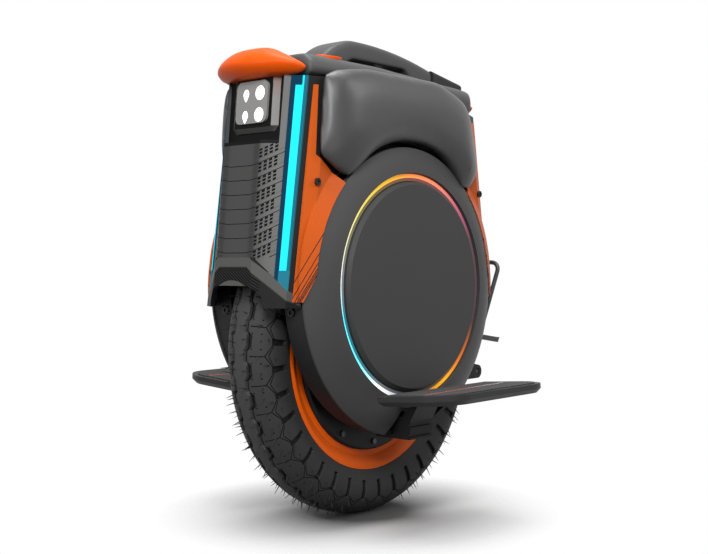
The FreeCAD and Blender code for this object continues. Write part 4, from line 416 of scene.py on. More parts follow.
@dataclass(frozen=True)
class Louvre(Finish):
    """Stacked nose panels with joint lines and groups of vent holes, over painted shade: darker in the middle, darkest
    in the groove beside it and lighter on the side facets.
    """

    first_line: float = 0.3878
    pitch: float = 0.0162
    facet_start: float = 0.028
    facet_slope: float = 0.62
    shoulder_start: float = 0.0165
    shoulder_width: float = 0.0115
    shoulder_slope: float = 0.16
    bold_line: Pair = (0.0004, 0.0008)
    faint_line: Pair = (0.0051, 0.0005)
    hole: float = 0.0026
    hole_rows: Triple = (0.0006, 0.0118, 0.0039)
    hole_columns: Triple = (0.0286, 0.0447, 0.0042)
    panel_half: float = 0.0498
    panel_count: float = 2.95
    lines_foot: float = 0.318
    holes_foot: float = 0.3115
    cheek_start: float = 0.0628
    shade_share: float = 0.85
    cheek: Colour = (0.006, 0.006, 0.0065)
    # painted shade: shares of the colour across the nose, darker in the middle and the groove, lighter on the facets
    painted_shade_levels: tuple[Pair, ...] = (
        (0.0, 0.3), (0.34, 0.28), (0.46, 0.1), (0.54, 0.14), (0.62, 0.5), (0.8, 0.85), (1.0, 1.0))

    def pattern(self, board: Board, place: Socket, base: Socket) -> Drawn:
        """Draw the joint lines and vent holes. See Finish.pattern."""
        _, y, z = board.axes(place)
        across = board.size(y)
        lift = board.beyond(across, self.facet_start, self.facet_slope)
        past = board.math("MAXIMUM", board.less(across, self.shoulder_start), 0.0)
        shoulder = board.times(board.math("MINIMUM", past, self.shoulder_width), self.shoulder_slope)
        level = board.less(board.less(z, lift), shoulder)
        down = board.less(self.first_line + 4 * self.pitch, level)
        bold, faint = (
            board.stripe(board.plus(down, start), self.pitch, width)
            for start, width in (self.bold_line, self.faint_line))
        part = board.times(board.math("FRACT", board.math("DIVIDE", down, self.pitch)), self.pitch)
        rows, columns = (
            board.both(board.stripe(board.less(value, start), pitch, self.hole), board.between(value, start, end))
            for value, (start, end, pitch) in ((part, self.hole_rows), (across, self.hole_columns)))
        panel = board.both(
            board.under(level, self.first_line + self.panel_count * self.pitch), board.under(across, self.panel_half))
        above = board.over(z, self.lines_foot)
        holes = board.both(rows, columns, panel, board.over(level, self.holes_foot))
        # painted shade and light across the nose, from how light falls on the middle, the groove and the facets
        shade = board.ramp(board.times(across, 20.0), [
            (spot, shaded(self.color, depth)) for spot, depth in self.painted_shade_levels])
        tint = board.blend(self.shade_share, base, shade)
        tint = board.blend(board.both(faint, panel, above), tint, shaded(self.color, 0.4))
        cut = board.either(board.both(bold, panel, above), holes)
        tint = board.blend(board.over(across, self.cheek_start), tint, self.cheek)
        return board.blend(cut, tint, (0.001, 0.001, 0.001)), board.less(1.0, cut)


@dataclass(frozen=True)
class Ribbed(Finish):
    """Chin with a smooth raised band over diagonal ribs."""

    rib_lean: float = 1.42
    rib_pitch: float = 0.0047
    rib_width: float = 0.0024
    band_foot: float = 0.3066
    band_flat: float = 0.022
    band_slope: float = 0.9
    edge_height: float = 0.3181
    edge_flat: float = 0.025
    edge_slope: float = 0.865
    edge_start: float = 0.026
    arch_height: float = 0.254
    arch_radius: float = 0.0385
    strip_foot: float = 0.2755
    strip_half: float = 0.038
    # width of the painted shadow line along the band's lower edge
    band_shadow: float = 0.0012
    shadow: Colour = (0.006, 0.006, 0.006)

    def pattern(self, board: Board, place: Socket, base: Socket) -> Drawn:
        """Draw the ribs under the band. See Finish.pattern."""
        _, y, z = board.axes(place)
        across = board.size(y)
        slant = board.line(z, self.rib_lean, y)
        ribs = board.stripe(board.plus(slant, 0.5), self.rib_pitch, self.rib_width)
        under = board.less(board.less(self.band_foot, board.beyond(across, self.band_flat, self.band_slope)), z)
        arch = board.math("SQRT", board.line(y, y, board.math("POWER", board.less(z, self.arch_height), 2.0)))
        strip = board.both(
            board.over(under, 0.0), board.over(arch, self.arch_radius), board.over(z, self.strip_foot),
            board.under(across, self.strip_half))
        cut = board.both(ribs, strip)
        # painted shadow: a thin darker line along the band's lower edge
        band_shadow = board.between(under, -self.band_shadow, 0.0)
        shade = board.blend(strip, base, shaded(self.color, 0.2))
        shade = board.blend(band_shadow, shade, shaded(self.color, 0.3))
        slope = board.beyond(across, self.edge_flat, self.edge_slope)
        over = board.both(board.over(board.plus(z, slope), self.edge_height), board.over(across, self.edge_start))
        beside = board.both(board.over(under, 0.0), board.over(across, self.strip_half))
        shade = board.blend(board.either(over, beside), shade, self.shadow)
        return board.blend(cut, shade, (0.002, 0.002, 0.002)), board.less(1.0, cut)


@dataclass(frozen=True)
class Pinstriped(Finish):
    """Orange panel with thin dark stripes that fan out at its lower end."""

    edge: float = 0.076
    slope: float = 1.09
    rise: float = 0.5055
    top: float = 0.372
    starts: tuple[float, ...] = (0.0006, -0.0137, -0.022, -0.0272, -0.0302, -0.0329)
    line: float = 0.00085

    def pattern(self, board: Board, place: Socket, base: Socket) -> Drawn:
        """Draw the pinstripes. See Finish.pattern."""
        x, y, z = board.axes(place)
        inward = board.less(self.edge, board.size(y))
        reach = board.line(inward, SIGHT_SLOPE, board.size(x))
        slide = board.less(board.line(reach, self.slope, z), self.rise)
        lines = [board.between(slide, start - self.line, start + self.line) for start in self.starts]
        cut = board.both(board.either(*lines), board.under(z, self.top))
        return board.blend(cut, base, (0.008, 0.014, 0.018)), board.less(1.0, cut)


@dataclass(frozen=True)
class Glow(Finish):
    """Lamp that glows in its own colour."""

    strength: float = 1.0

    def light(self, board: Board, shader: bpy.types.Node, color: Socket) -> None:
        """Let the lamp glow. See Finish.light."""
        board.feed(shader.inputs["Emission Color"], color)
        shader.inputs["Emission Strength"].default_value = self.strength


@dataclass(frozen=True)
class BarLight(Glow):
    """Corner light: blue edge, bright cyan strip and a finely ribbed teal edge."""

    blue: Colour = (0.008, 0.042, 0.08)
    bright: Colour = (0.02, 0.78, 1.0)
    teal: Colour = (0.02, 0.17, 0.24)
    top: float = 0.521
    rear_drop: float = 0.016
    strip_foot: float = 0.3033
    strip_drop: float = 0.011
    strip_edges: Triple = (0.054, 0.0592, 0.0605)
    edge_start: float = 0.0585
    tip_start: float = 0.0535
    dimming: float = 0.8
    strength: float = 1.05

    def pattern(self, board: Board, place: Socket, base: Socket) -> Drawn:
        """Draw the three strips. See Finish.pattern."""
        x, y, z = board.axes(place)
        across = board.size(y)
        top = board.less(self.top, board.times(board.under(x, 0.0), self.rear_drop))
        start, middle, end = self.strip_edges
        inner = board.between(across, start, end)
        outer = board.between(across, middle, end)
        main = board.both(inner, board.under(z, board.less(top, self.strip_drop)))
        lit = board.both(board.either(main, outer), board.over(z, self.strip_foot))
        fine = board.stripe(across, 0.0011, 0.0005)
        edge = board.blend(fine, self.teal, shaded(self.teal, 0.6))
        ticks = board.stripe(z, 0.0022, 0.0007)
        inside = board.blend(ticks, self.blue, shaded(self.blue, 0.75))
        color = board.blend(board.over(across, self.edge_start), inside, edge)
        tip = board.both(board.under(z, self.strip_foot), board.over(across, self.tip_start))
        color = board.blend(tip, color, self.teal)
        return board.blend(lit, color, self.bright), lit

    def light(self, board: Board, shader: bpy.types.Node, color: Socket) -> None:
        """Let the strips glow, over a darker body."""
        super().light(board, shader, color)
        board.feed(shader.inputs["Base Color"], board.blend(self.dimming, color, (0.0, 0.0, 0.0)))


@dataclass(frozen=True)
class RingGlow(Glow):
    """Ring light whose colour runs round the shell."""

    stops: tuple[tuple[float, Colour], ...] = (
        (0.0, (0.08, 0.02, 0.01)), (0.08, (0.9, 0.4, 0.02)), (0.13, (0.6, 0.14, 0.02)), (0.19, (0.07, 0.04, 0.04)),
        (0.32, (0.09, 0.05, 0.06)), (0.38, (0.4, 0.1, 0.15)), (0.44, (0.75, 0.2, 0.12)), (0.5, (0.9, 0.24, 0.06)),
        (0.53, (0.75, 0.3, 0.03)), (0.58, (0.85, 0.5, 0.03)), (0.64, (0.85, 0.72, 0.18)), (0.69, (0.85, 0.82, 0.5)),
        (0.73, (0.9, 0.9, 0.85)), (0.76, (0.7, 0.9, 0.95)), (0.79, (0.1, 0.8, 0.95)), (0.86, (0.12, 0.82, 1.0)),
        (0.89, (0.4, 0.85, 1.0)), (0.92, (0.85, 0.85, 0.85)), (0.95, (0.5, 0.5, 0.5)), (1.0, (0.08, 0.02, 0.01)))
    strength: float = 0.75
    lit_radius: float = 0.1312
    shade: Colour = (0.012, 0.02, 0.035)

    def pattern(self, board: Board, place: Socket, base: Socket) -> Drawn:
        """Run the colours round the ring. See Finish.pattern."""
        around = board.group(Effect.around(), Vector=place, Height=SHELL_HEIGHT)
        glow = board.ramp(around.outputs["Turn"], self.stops)
        inner = board.under(around.outputs["Radius"], self.lit_radius)
        return board.blend(inner, glow, board.blend(0.86, glow, self.shade)), None


@dataclass(frozen=True)
class GripSheet(Finish):
    """Gritty pedal sheet with a line that fades from orange to white."""

    grit_scale: float = 700.0
    line_across: float = 0.1675
    line_slope: float = 0.075
    line_half: float = 0.0011
    line_ends: Pair = (-0.085, 0.094)
    fade: tuple[tuple[float, Colour], ...] = ((0.15, (0.6, 0.6, 0.58)), (0.55, (0.62, 0.1, 0.02)))

    def pattern(self, board: Board, place: Socket, base: Socket) -> Drawn:
        """Draw the grit and the line. See Finish.pattern."""
        x, y, _ = board.axes(place)
        across = board.size(y)
        grit = board.node("ShaderNodeTexVoronoi", {"Vector": place, "Scale": self.grit_scale}).outputs["Distance"]
        bent = board.line(x, self.line_slope, self.line_across)
        line = board.both(
            board.under(board.size(board.less(across, bent)), self.line_half), board.between(x, *self.line_ends))
        fade = board.ramp(board.line(x, 5.5, 0.5), self.fade)
        color = board.blend(grit, base, shaded(self.color, 1.6))
        return board.blend(line, color, fade), board.times(grit, 0.35)


@dataclass(frozen=True)
class LampBlock(Finish):
    """Headlight surround: black groove and border, with grey slanted walls on the lamp block that carry painted shade
    low down and a painted warm glow near the top.
    """

    wall: Colour = (0.2, 0.197, 0.192)
    painted_warm_glow: Colour = (0.2, 0.075, 0.04)
    floor: float = 0.0196
    front: float = 0.0139
    foot: float = 0.4595
    sill: float = 0.4656

    def pattern(self, board: Board, place: Socket, base: Socket) -> Drawn:
        """Colour the walls of the lamp block. See Finish.pattern."""
        x, y, z = board.axes(place)
        nose = board.line(z, -NOSE_SLOPE, NOSE_FOOT + NOSE_FOOT_HEIGHT * NOSE_SLOPE)
        depth = board.less(nose, x)
        wall = board.both(board.between(depth, self.front, self.floor), board.over(z, self.foot))
        # painted shade: below the sill the walls are a darker copy of their grey
        low = board.under(z, self.sill)
        grey = board.blend(low, self.wall, shaded(self.wall, 0.28))
        # painted light: a warm glow on the walls that grows towards the top
        glow = board.ramp(board.line(z, 30.0, -14.9), ((0.0, (0, 0, 0)), (0.7, (1, 1, 1))))
        grey = board.blend(board.times(glow, 0.6), grey, self.painted_warm_glow)
        return board.blend(wall, base, grey), None


class Paintbox:
    """Every finish of the machine, and the CAD nodes that wear it."""

    ORANGE: Colour = (0.62, 0.072, 0.0015)

    FINISHES: tuple[tuple[Finish, tuple[str, ...]], ...] = (
        (Tread("tyre_rubber", (0.034, 0.034, 0.034), 0.6, 0.2, 0.16, 500.0, 0.0001, specular=0.15), ("tyre",)),
        (Finish("inner_rubber", (0.02, 0.02, 0.02), 0.7), ("inner_tube",)),
        (Finish("stand_rubber", (0.025, 0.025, 0.026), 0.7, grain_scale=600.0), ("stand_foot",)),
        (Finish("rim_paint", (0.95, 0.135, 0.004), 0.45, 0.06, 0.1, 1500.0, 0.00004), ("rim",)),
        (Finish("visor_orange", ORANGE, 0.45, 0.05, 0.08, 2400.0, 0.00003, specular=0.12), (
            "front_visor", "rear_visor", "handle_trim")),
        (Pinstriped("panel_orange", (0.46, 0.073, 0.004), 0.45, 0.06, 0.08, 2400.0, 0.00003),
         ("corner_panels",)),
        (Finish("frame_black", (0.016, 0.016, 0.017), 0.5, 0.3, 0.12, 1300.0, 0.00008, specular=0.12), (
            "left_frame_drum", "right_frame_drum", "motor_covers", "left_pedal_hanger", "right_pedal_hanger",
            "stand_brackets")),
        (Finish("pedal_black", (0.016, 0.016, 0.017), 0.5, 0.25, 0.12, 1100.0, 0.0001), ("left_pedal", "right_pedal")),
        (Finish("stand_wire_black", (0.03, 0.03, 0.032), 0.38, 0.2, 0.1, coat=0.2), ("stand",)),
        (Finish("axle_steel", (0.55, 0.55, 0.57), 0.34, 0.12, 0.14, 700.0, 0.00003, metallic=1.0), (
            "axle", "wheel_bearings", "pedal_pins", "trolley_mid_tubes", "trolley_rods")),
        (Finish("screw_steel", (0.05, 0.05, 0.052), 0.35, 0.2, 0.15, metallic=0.8), (
            "magnet_ring", "stator", "cover_screws", "valve_stem")),
        (Finish("coil_copper", (0.72, 0.3, 0.13), 0.35, 0.2, 0.1, 300.0, 0.0002, metallic=1.0), ("windings",)),
        (Finish("sink_aluminium", (0.6, 0.61, 0.63), 0.45, 0.12, 0.15, 500.0, 0.00006, metallic=1.0), (
            "heat_sink", "trolley_guides")),
        (Finish("shell_grey", (0.05, 0.05, 0.05), 0.48, 0.08, 0.06, 2600.0, 0.00003, specular=0.14), (
            "left_side_shell", "right_side_shell")),
        (Finish("disc_grey", (0.042, 0.042, 0.042), 0.5, 0.06, 0.06, 2600.0, 0.00003, specular=0.14), (
            "left_disc_cover", "right_disc_cover")),
        (Finish("deck_grey", (0.05, 0.05, 0.051), 0.48, 0.1, 0.08, 1900.0, 0.00006), ("top_deck", "carry_handle")),
        (Finish("inside_black", (0.016, 0.016, 0.017), 0.6, 0.3, 0.1, 900.0, 0.0001), (
            "wheel_arch", "upper_housing", "trolley_grip", "power_button", "lift_switch", "charge_port",
            "charge_flap")),
        (LampBlock("hood_black", (0.004, 0.004, 0.004), 0.55, 0.2, 0.1, specular=0.06), ("headlight_bezel",)),
        (Louvre("louvre_grey", (0.104, 0.106, 0.103), 0.5, 0.06, 0.08, 1900.0, 0.00004, specular=0.15), (
            "front_fascia", "rear_fascia")),
        (Ribbed("chin_grey", (0.068, 0.068, 0.066), 0.5, 0.08, 0.08, 1900.0, 0.00004, specular=0.1), (
            "front_chin", "rear_chin")),
        (Finish("pad_leather", (0.017, 0.017, 0.017), 0.37, 0.1, 0.06, 1500.0, 0.00018, specular=0.55), (
            "left_leg_pad", "right_leg_pad")),
        (RingGlow("ring_glow", (0.5, 0.5, 0.5), 0.3, specular=0.1), ("ring_lights",)),
        (BarLight("bar_light", (0.05, 0.3, 0.4), 0.4, specular=0.0, matte_cuts=False), (
            "front_light_bars", "rear_light_bars")),
        (Finish("lens_plate", (0.2, 0.2, 0.197), 0.4, 0.05, 0.08), ("headlight_lens",)),
        (Glow("lamp_white", (0.95, 0.95, 0.95), 0.3, 0.02, strength=1.0), ("headlight_lamps",)),
        (Glow("tail_red", (0.42, 0.006, 0.006), 0.35, 0.2, coat=0.05, strength=0.25, specular=0.08), ("tail_light",)),
        (Finish("board_green", (0.015, 0.12, 0.05), 0.5, 0.3), ("controller_board",)),
        (Finish("battery_wrap", (0.03, 0.07, 0.22), 0.4, 0.15), ("battery_packs",)),
        (GripSheet("grip_sheet", (0.03, 0.03, 0.031), 0.72, 0.2, matte_cuts=False), (
            "left_pedal_grip", "right_pedal_grip")),
        (Finish("bolt_black", (0.012, 0.012, 0.013), 0.32, 0.2, 0.12), ("body_screws",)),
    )

    def __init__(self) -> None:
        """Start with no material made."""
        self.materials: dict[str, bpy.types.Material] = {}

    def dress(self) -> None:
        """Give every CAD node its finish."""
        for finish, nodes in self.FINISHES:
            material = finish.material()
            self.materials[finish.label] = material
            for name in nodes:
                self.wear(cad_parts[name], finish.label)
            LOG.info("%s on %s", finish.label, ", ".join(nodes))

    def wear(self, piece: Piece, label: str) -> None:
        """Put one material on a piece.

        Args:
            piece: Object to dress.
            label: Name of the finish.
        """
        if not piece.material_slots:
            piece.data.materials.append(self.materials[label])
        for slot in piece.material_slots:
            slot.material = self.materials[label]


class Bench:
    """Modelling steps that every new piece uses."""

    @staticmethod
    def fit(piece: Piece, paint: Paintbox, finish: str, slot: str, body: str) -> None:
        """Dress a new piece and hang it on its body.

        Args:
            piece: Finished piece.
            paint: Finishes.
            finish: Name of its finish.
            slot: Not used.
            body: Body that it rides on.
        """
        paint.wear(piece, finish)
        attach(piece, body)
        LOG.info("%s: %d faces", piece.name, len(piece.data.polygons))

    @staticmethod
    @contextmanager
    def editing(piece: Piece) -> Iterator[None]:
        """Hold a piece in edit mode with everything selected.

        Args:
            piece: Piece to edit.
        """
        Bench.pick(piece)
        bpy.ops.object.mode_set(mode="EDIT")
        bpy.ops.mesh.select_all(action="SELECT")
        yield
        bpy.ops.object.mode_set(mode="OBJECT")

    @staticmethod
    def clear() -> None:
        """Deselect everything."""
        if bpy.context.object and bpy.context.object.mode != "OBJECT":
            bpy.ops.object.mode_set(mode="OBJECT")
        bpy.ops.object.select_all(action="DESELECT")

    @staticmethod
    def pick(piece: Piece) -> None:
        """Select one piece alone.

        Args:
            piece: Object to select and make active.
        """
        Bench.clear()
        piece.select_set(True)
        bpy.context.view_layer.objects.active = piece

    @staticmethod
    def settle(piece: Piece, name: str) -> Piece:
        """Name a piece and put its place into its mesh.

        Args:
            piece: Object to settle.
            name: Its new name.

        Returns:
            The same object.
        """
        Bench.pick(piece)
        bpy.ops.object.transform_apply(location=True, rotation=True, scale=True)
        piece.name = name
        piece.data.name = name
        return piece

    @staticmethod
    def apply(piece: Piece, kind: str, **settings: object) -> None:
        """Add a modifier and apply it.

        Args:
            piece: Object to change.
            kind: Kind of modifier.
            settings: Its properties.
        """
        Bench.pick(piece)
        step = piece.modifiers.new(kind.lower(), kind)
        for name, value in settings.items():
            setattr(step, name, value)
        bpy.ops.object.modifier_apply(modifier=step.name)

    @staticmethod
    def remesh(piece: Piece, voxel: float) -> None:
        """Merge a copied solid and give it even faces.

        Args:
            piece: Object to remesh.
            voxel: Size of its new faces.
        """
        Bench.pick(piece)
        bpy.ops.mesh.customdata_custom_splitnormals_clear()
        with Bench.editing(piece):
            bpy.ops.mesh.remove_doubles(threshold=0.00001)
            bpy.ops.mesh.mark_sharp(clear=True)
        piece.data.use_remesh_preserve_attributes = False
        piece.data.remesh_voxel_size = voxel
        bpy.ops.object.voxel_remesh()

    @staticmethod
    def repeat(pattern: Piece, places: Iterable[Matrix], name: str) -> Piece:
        """Copy a modelled piece to many places and join the copies.

        Args:
            pattern: Piece modelled once at the origin; it is removed.
            places: Where each copy goes.
            name: Name of the joined piece.

        Returns:
            The joined piece.
        """
        copies = []
        for place in places:
            mesh = pattern.data.copy()
            mesh.transform(place)
            copy = bpy.data.objects.new(name, mesh)
            bpy.context.scene.collection.objects.link(copy)
            copies.append(copy)
        bpy.data.objects.remove(pattern)
        return Bench.join(copies, name)

    @staticmethod
    def join(pieces: Sequence[Piece], name: str) -> Piece:
        """Join pieces into one.

        Args:
            pieces: Pieces to join.
            name: Name of the joined piece.

        Returns:
            The joined piece.
        """
        Bench.clear()
        for piece in pieces:
            piece.select_set(True)
        bpy.context.view_layer.objects.active = pieces[0]
        bpy.ops.object.join()
        return Bench.settle(bpy.context.object, name)

    @staticmethod
    def mirrored(piece: Piece, name: str) -> Piece:
        """Copy a piece to the other side of the machine.

        Args:
            piece: Piece on the left.
            name: Name of the copy.

        Returns:
            The copy, with its faces turned outwards.
        """
        mesh = piece.data.copy()
        mesh.transform(Matrix.Diagonal((1.0, -1.0, 1.0, 1.0)))
        copy = bpy.data.objects.new(name, mesh)
        bpy.context.scene.collection.objects.link(copy)
        with Bench.editing(copy):
            bpy.ops.mesh.normals_make_consistent(inside=False)
        return Bench.settle(copy, name)


@dataclass
class LegPads:
    """Soft pads above the side shells."""

    voxel: float = 0.003
    front_fill: float = 0.0065
    rear_fill: float = 0.0085
    top_fill: float = 0.008
    corner_fill: float = 0.006
    crown_foot: float = 0.079
    crown_full: float = 0.088
    crown_rounding: int = 80
    rounding: int = 24
    pressure: float = 4.0
    frames: int = 20
    cap: float = 0.0022
    foot: float = 0.0723

    @staticmethod
    def ease(value: float, low: float, high: float) -> float:
        """Rise smoothly from 0 at low to 1 at high.

        Args:
            value: Tested value.
            low: Where the rise starts.
            high: Where it ends.

        Returns:
            The share.
        """
        share = min(max((value - low) / (high - low), 0.0), 1.0)
        return share * share * (3.0 - 2.0 * share)

    def form(self) -> Piece:
        """Round a copy of the left pad's solid and swell it.

        Returns:
            The soft pad.
        """
        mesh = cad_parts["left_leg_pad"].data.copy()
        pad = bpy.data.objects.new("left_soft_pad", mesh)
        bpy.context.scene.collection.objects.link(pad)
        Bench.remesh(pad, self.voxel)
        self.fill_out(pad)
        crown = pad.vertex_groups.new(name="crown")
        for vertex in pad.data.vertices:
            crown.add([vertex.index], self.ease(vertex.co.y, self.crown_foot, self.crown_full), "REPLACE")
        Bench.apply(pad, "SMOOTH", factor=0.5, iterations=self.crown_rounding, vertex_group="crown")
        Bench.apply(pad, "SMOOTH", factor=0.5, iterations=self.rounding)
        self.swell(pad)
        for vertex in pad.data.vertices:
            vertex.co.y = max(vertex.co.y, self.foot)
        Bench.apply(pad, "SMOOTH", factor=0.5, iterations=8)
        Bench.apply(pad, "SUBSURF", levels=1, render_levels=1)
        Bench.pick(pad)
        bpy.ops.object.shade_smooth()
        return Bench.settle(pad, "left_soft_pad")

    def fill_out(self, pad: Piece) -> None:
        """Push the front, rear and top edges out to the seams beside them.

        Args:
            pad: Pad to shape.
        """
        moves = []
        for vertex in pad.data.vertices:
            ahead = self.ease(vertex.normal.x, 0.25, 0.75) * self.front_fill
            behind = self.ease(-vertex.normal.x, 0.25, 0.75) * self.rear_fill
            lift = self.ease(vertex.normal.z, 0.3, 0.8) * self.top_fill
            dip = self.ease(vertex.normal.x, 0.3, 0.6) * self.ease(-vertex.normal.z, 0.3, 0.6) * self.corner_fill
            moves.append(Vector((ahead - behind, 0.0, lift - dip)))
        for vertex, move in zip(pad.data.vertices, moves):
            vertex.co += move

    def swell(self, pad: Piece) -> None:
        """Blow the pad up a little as cloth, with a cap on every point's way.

        Args:
            pad: Pad to swell.
        """
        rest = [vertex.co.copy() for vertex in pad.data.vertices]
        cloth = pad.modifiers.new("swell", "CLOTH")
        cloth.settings.use_pressure = True
        cloth.settings.uniform_pressure_force = self.pressure
        cloth.settings.effector_weights.gravity = 0.0
        scene = bpy.context.scene
        for number in range(1, self.frames + 1):
            scene.frame_set(number)
        shown = pad.evaluated_get(bpy.context.evaluated_depsgraph_get())
        moved = [vertex.co.copy() for vertex in shown.data.vertices]
        pad.modifiers.remove(cloth)
        scene.frame_set(1)
        for vertex, start, end in zip(pad.data.vertices, rest, moved):
            way = end - start
            if way.length > self.cap:
                way = way.normalized() * self.cap
            vertex.co = start + way

    def build(self, paint: Paintbox) -> None:
        """Make both pads.

        Args:
            paint: Finishes.
        """
        left = self.form()
        right = Bench.mirrored(left, "right_soft_pad")
        for pad, node in ((left, "left_leg_pad"), (right, "right_leg_pad")):
            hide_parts(node)
            Bench.fit(pad, paint, "pad_leather", "pad_leather", "chassis")


@dataclass(frozen=True)
class Moulding:
    """A solid whose edges are rounded as a mould leaves them."""

    node: str
    name: str
    finish: str
    slot: str
    voxel: float
    rounding: int
    free_from: float = 0.0
    swell: float = 0.0
    body: str = "chassis"
    end_start: float = 0.13
    kept_share: float = 0.15

    def build(self, paint: Paintbox) -> None:
        """Round a copy of the solid, only outside a middle strip where one is kept.

        Args:
            paint: Finishes.
        """
        piece = bpy.data.objects.new(self.name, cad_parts[self.node].data.copy())
        bpy.context.scene.collection.objects.link(piece)
        Bench.remesh(piece, self.voxel)
        edges = piece.vertex_groups.new(name="edges")
        for vertex in piece.data.vertices:
            free = abs(vertex.co.y) >= self.free_from or abs(vertex.co.x) > self.end_start
            edges.add([vertex.index], 1.0 if free else self.kept_share, "REPLACE")
        Bench.apply(piece, "SMOOTH", factor=0.9, iterations=self.rounding, vertex_group="edges")
        with Bench.editing(piece):
            bpy.ops.transform.shrink_fatten(value=self.swell)
        bpy.ops.object.shade_smooth()
        Bench.settle(piece, self.name)
        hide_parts(self.node)
        Bench.fit(piece, paint, self.finish, self.slot, self.body)


@dataclass
class Covers:
    """Visors, deck and handle with rounded edges, and the orange inlays beside the handle."""

    mouldings: tuple[Moulding, ...] = (
        Moulding("front_visor", "front_brim", "visor_orange", "orange_plastic", 0.002, 60, 0.0, 0.001),
        Moulding("rear_visor", "rear_brim", "visor_orange", "orange_plastic", 0.002, 60, 0.0, 0.001),
        Moulding("top_deck", "deck_cover", "deck_grey", "grey_plastic", 0.0022, 70, 0.044),
        Moulding("carry_handle", "handle_arch", "deck_grey", "grey_plastic", 0.0018, 20),
        Moulding("stand", "stand_wire", "stand_wire_black", "black_metal", 0.001, 2, 0.0, -0.0009, "kickstand"))
    inlay_place: Triple = (0.109, 0.0485, 0.5472)
    inlay_size: Triple = (0.019, 0.0115, 0.0036)
    inlay_tilt: float = -0.14

    def inlay(self) -> Piece:
        """Model the left inlay, a leaf that lies over the deck's shoulder.

        Returns:
            The inlay.
        """
        Bench.clear()
        bpy.ops.mesh.primitive_circle_add(vertices=40, radius=1.0, fill_type="NGON")
        leaf = bpy.context.object
        for vertex in leaf.data.vertices:
            vertex.co.y *= abs(vertex.co.y) ** 0.6
        with Bench.editing(leaf):
            bpy.ops.mesh.extrude_region_move(TRANSFORM_OT_translate={"value": (0.0, 0.0, 1.0)})
            bpy.ops.mesh.select_all(action="SELECT")
            bpy.ops.mesh.normals_make_consistent(inside=False)
        leaf.scale = self.inlay_size
        leaf.rotation_euler = (self.inlay_tilt, 0.0, -0.12)
        leaf.location = self.inlay_place
        Bench.settle(leaf, "left_inlay")
        Bench.apply(leaf, "BEVEL", width=0.0008, segments=3, limit_method="ANGLE")
        return leaf

    def build(self, paint: Paintbox) -> None:
        """Make the covers and the inlays.

        Args:
            paint: Finishes.
        """
        for moulding in self.mouldings:
            moulding.build(paint)
        left = self.inlay()
        right = Bench.mirrored(left, "right_inlay")
        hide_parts("handle_trim")
        for leaf in (left, right):
            Bench.pick(leaf)
            bpy.ops.object.shade_smooth_by_angle(angle=math.radians(40))
            Bench.fit(leaf, paint, "visor_orange", "orange_plastic", "chassis")


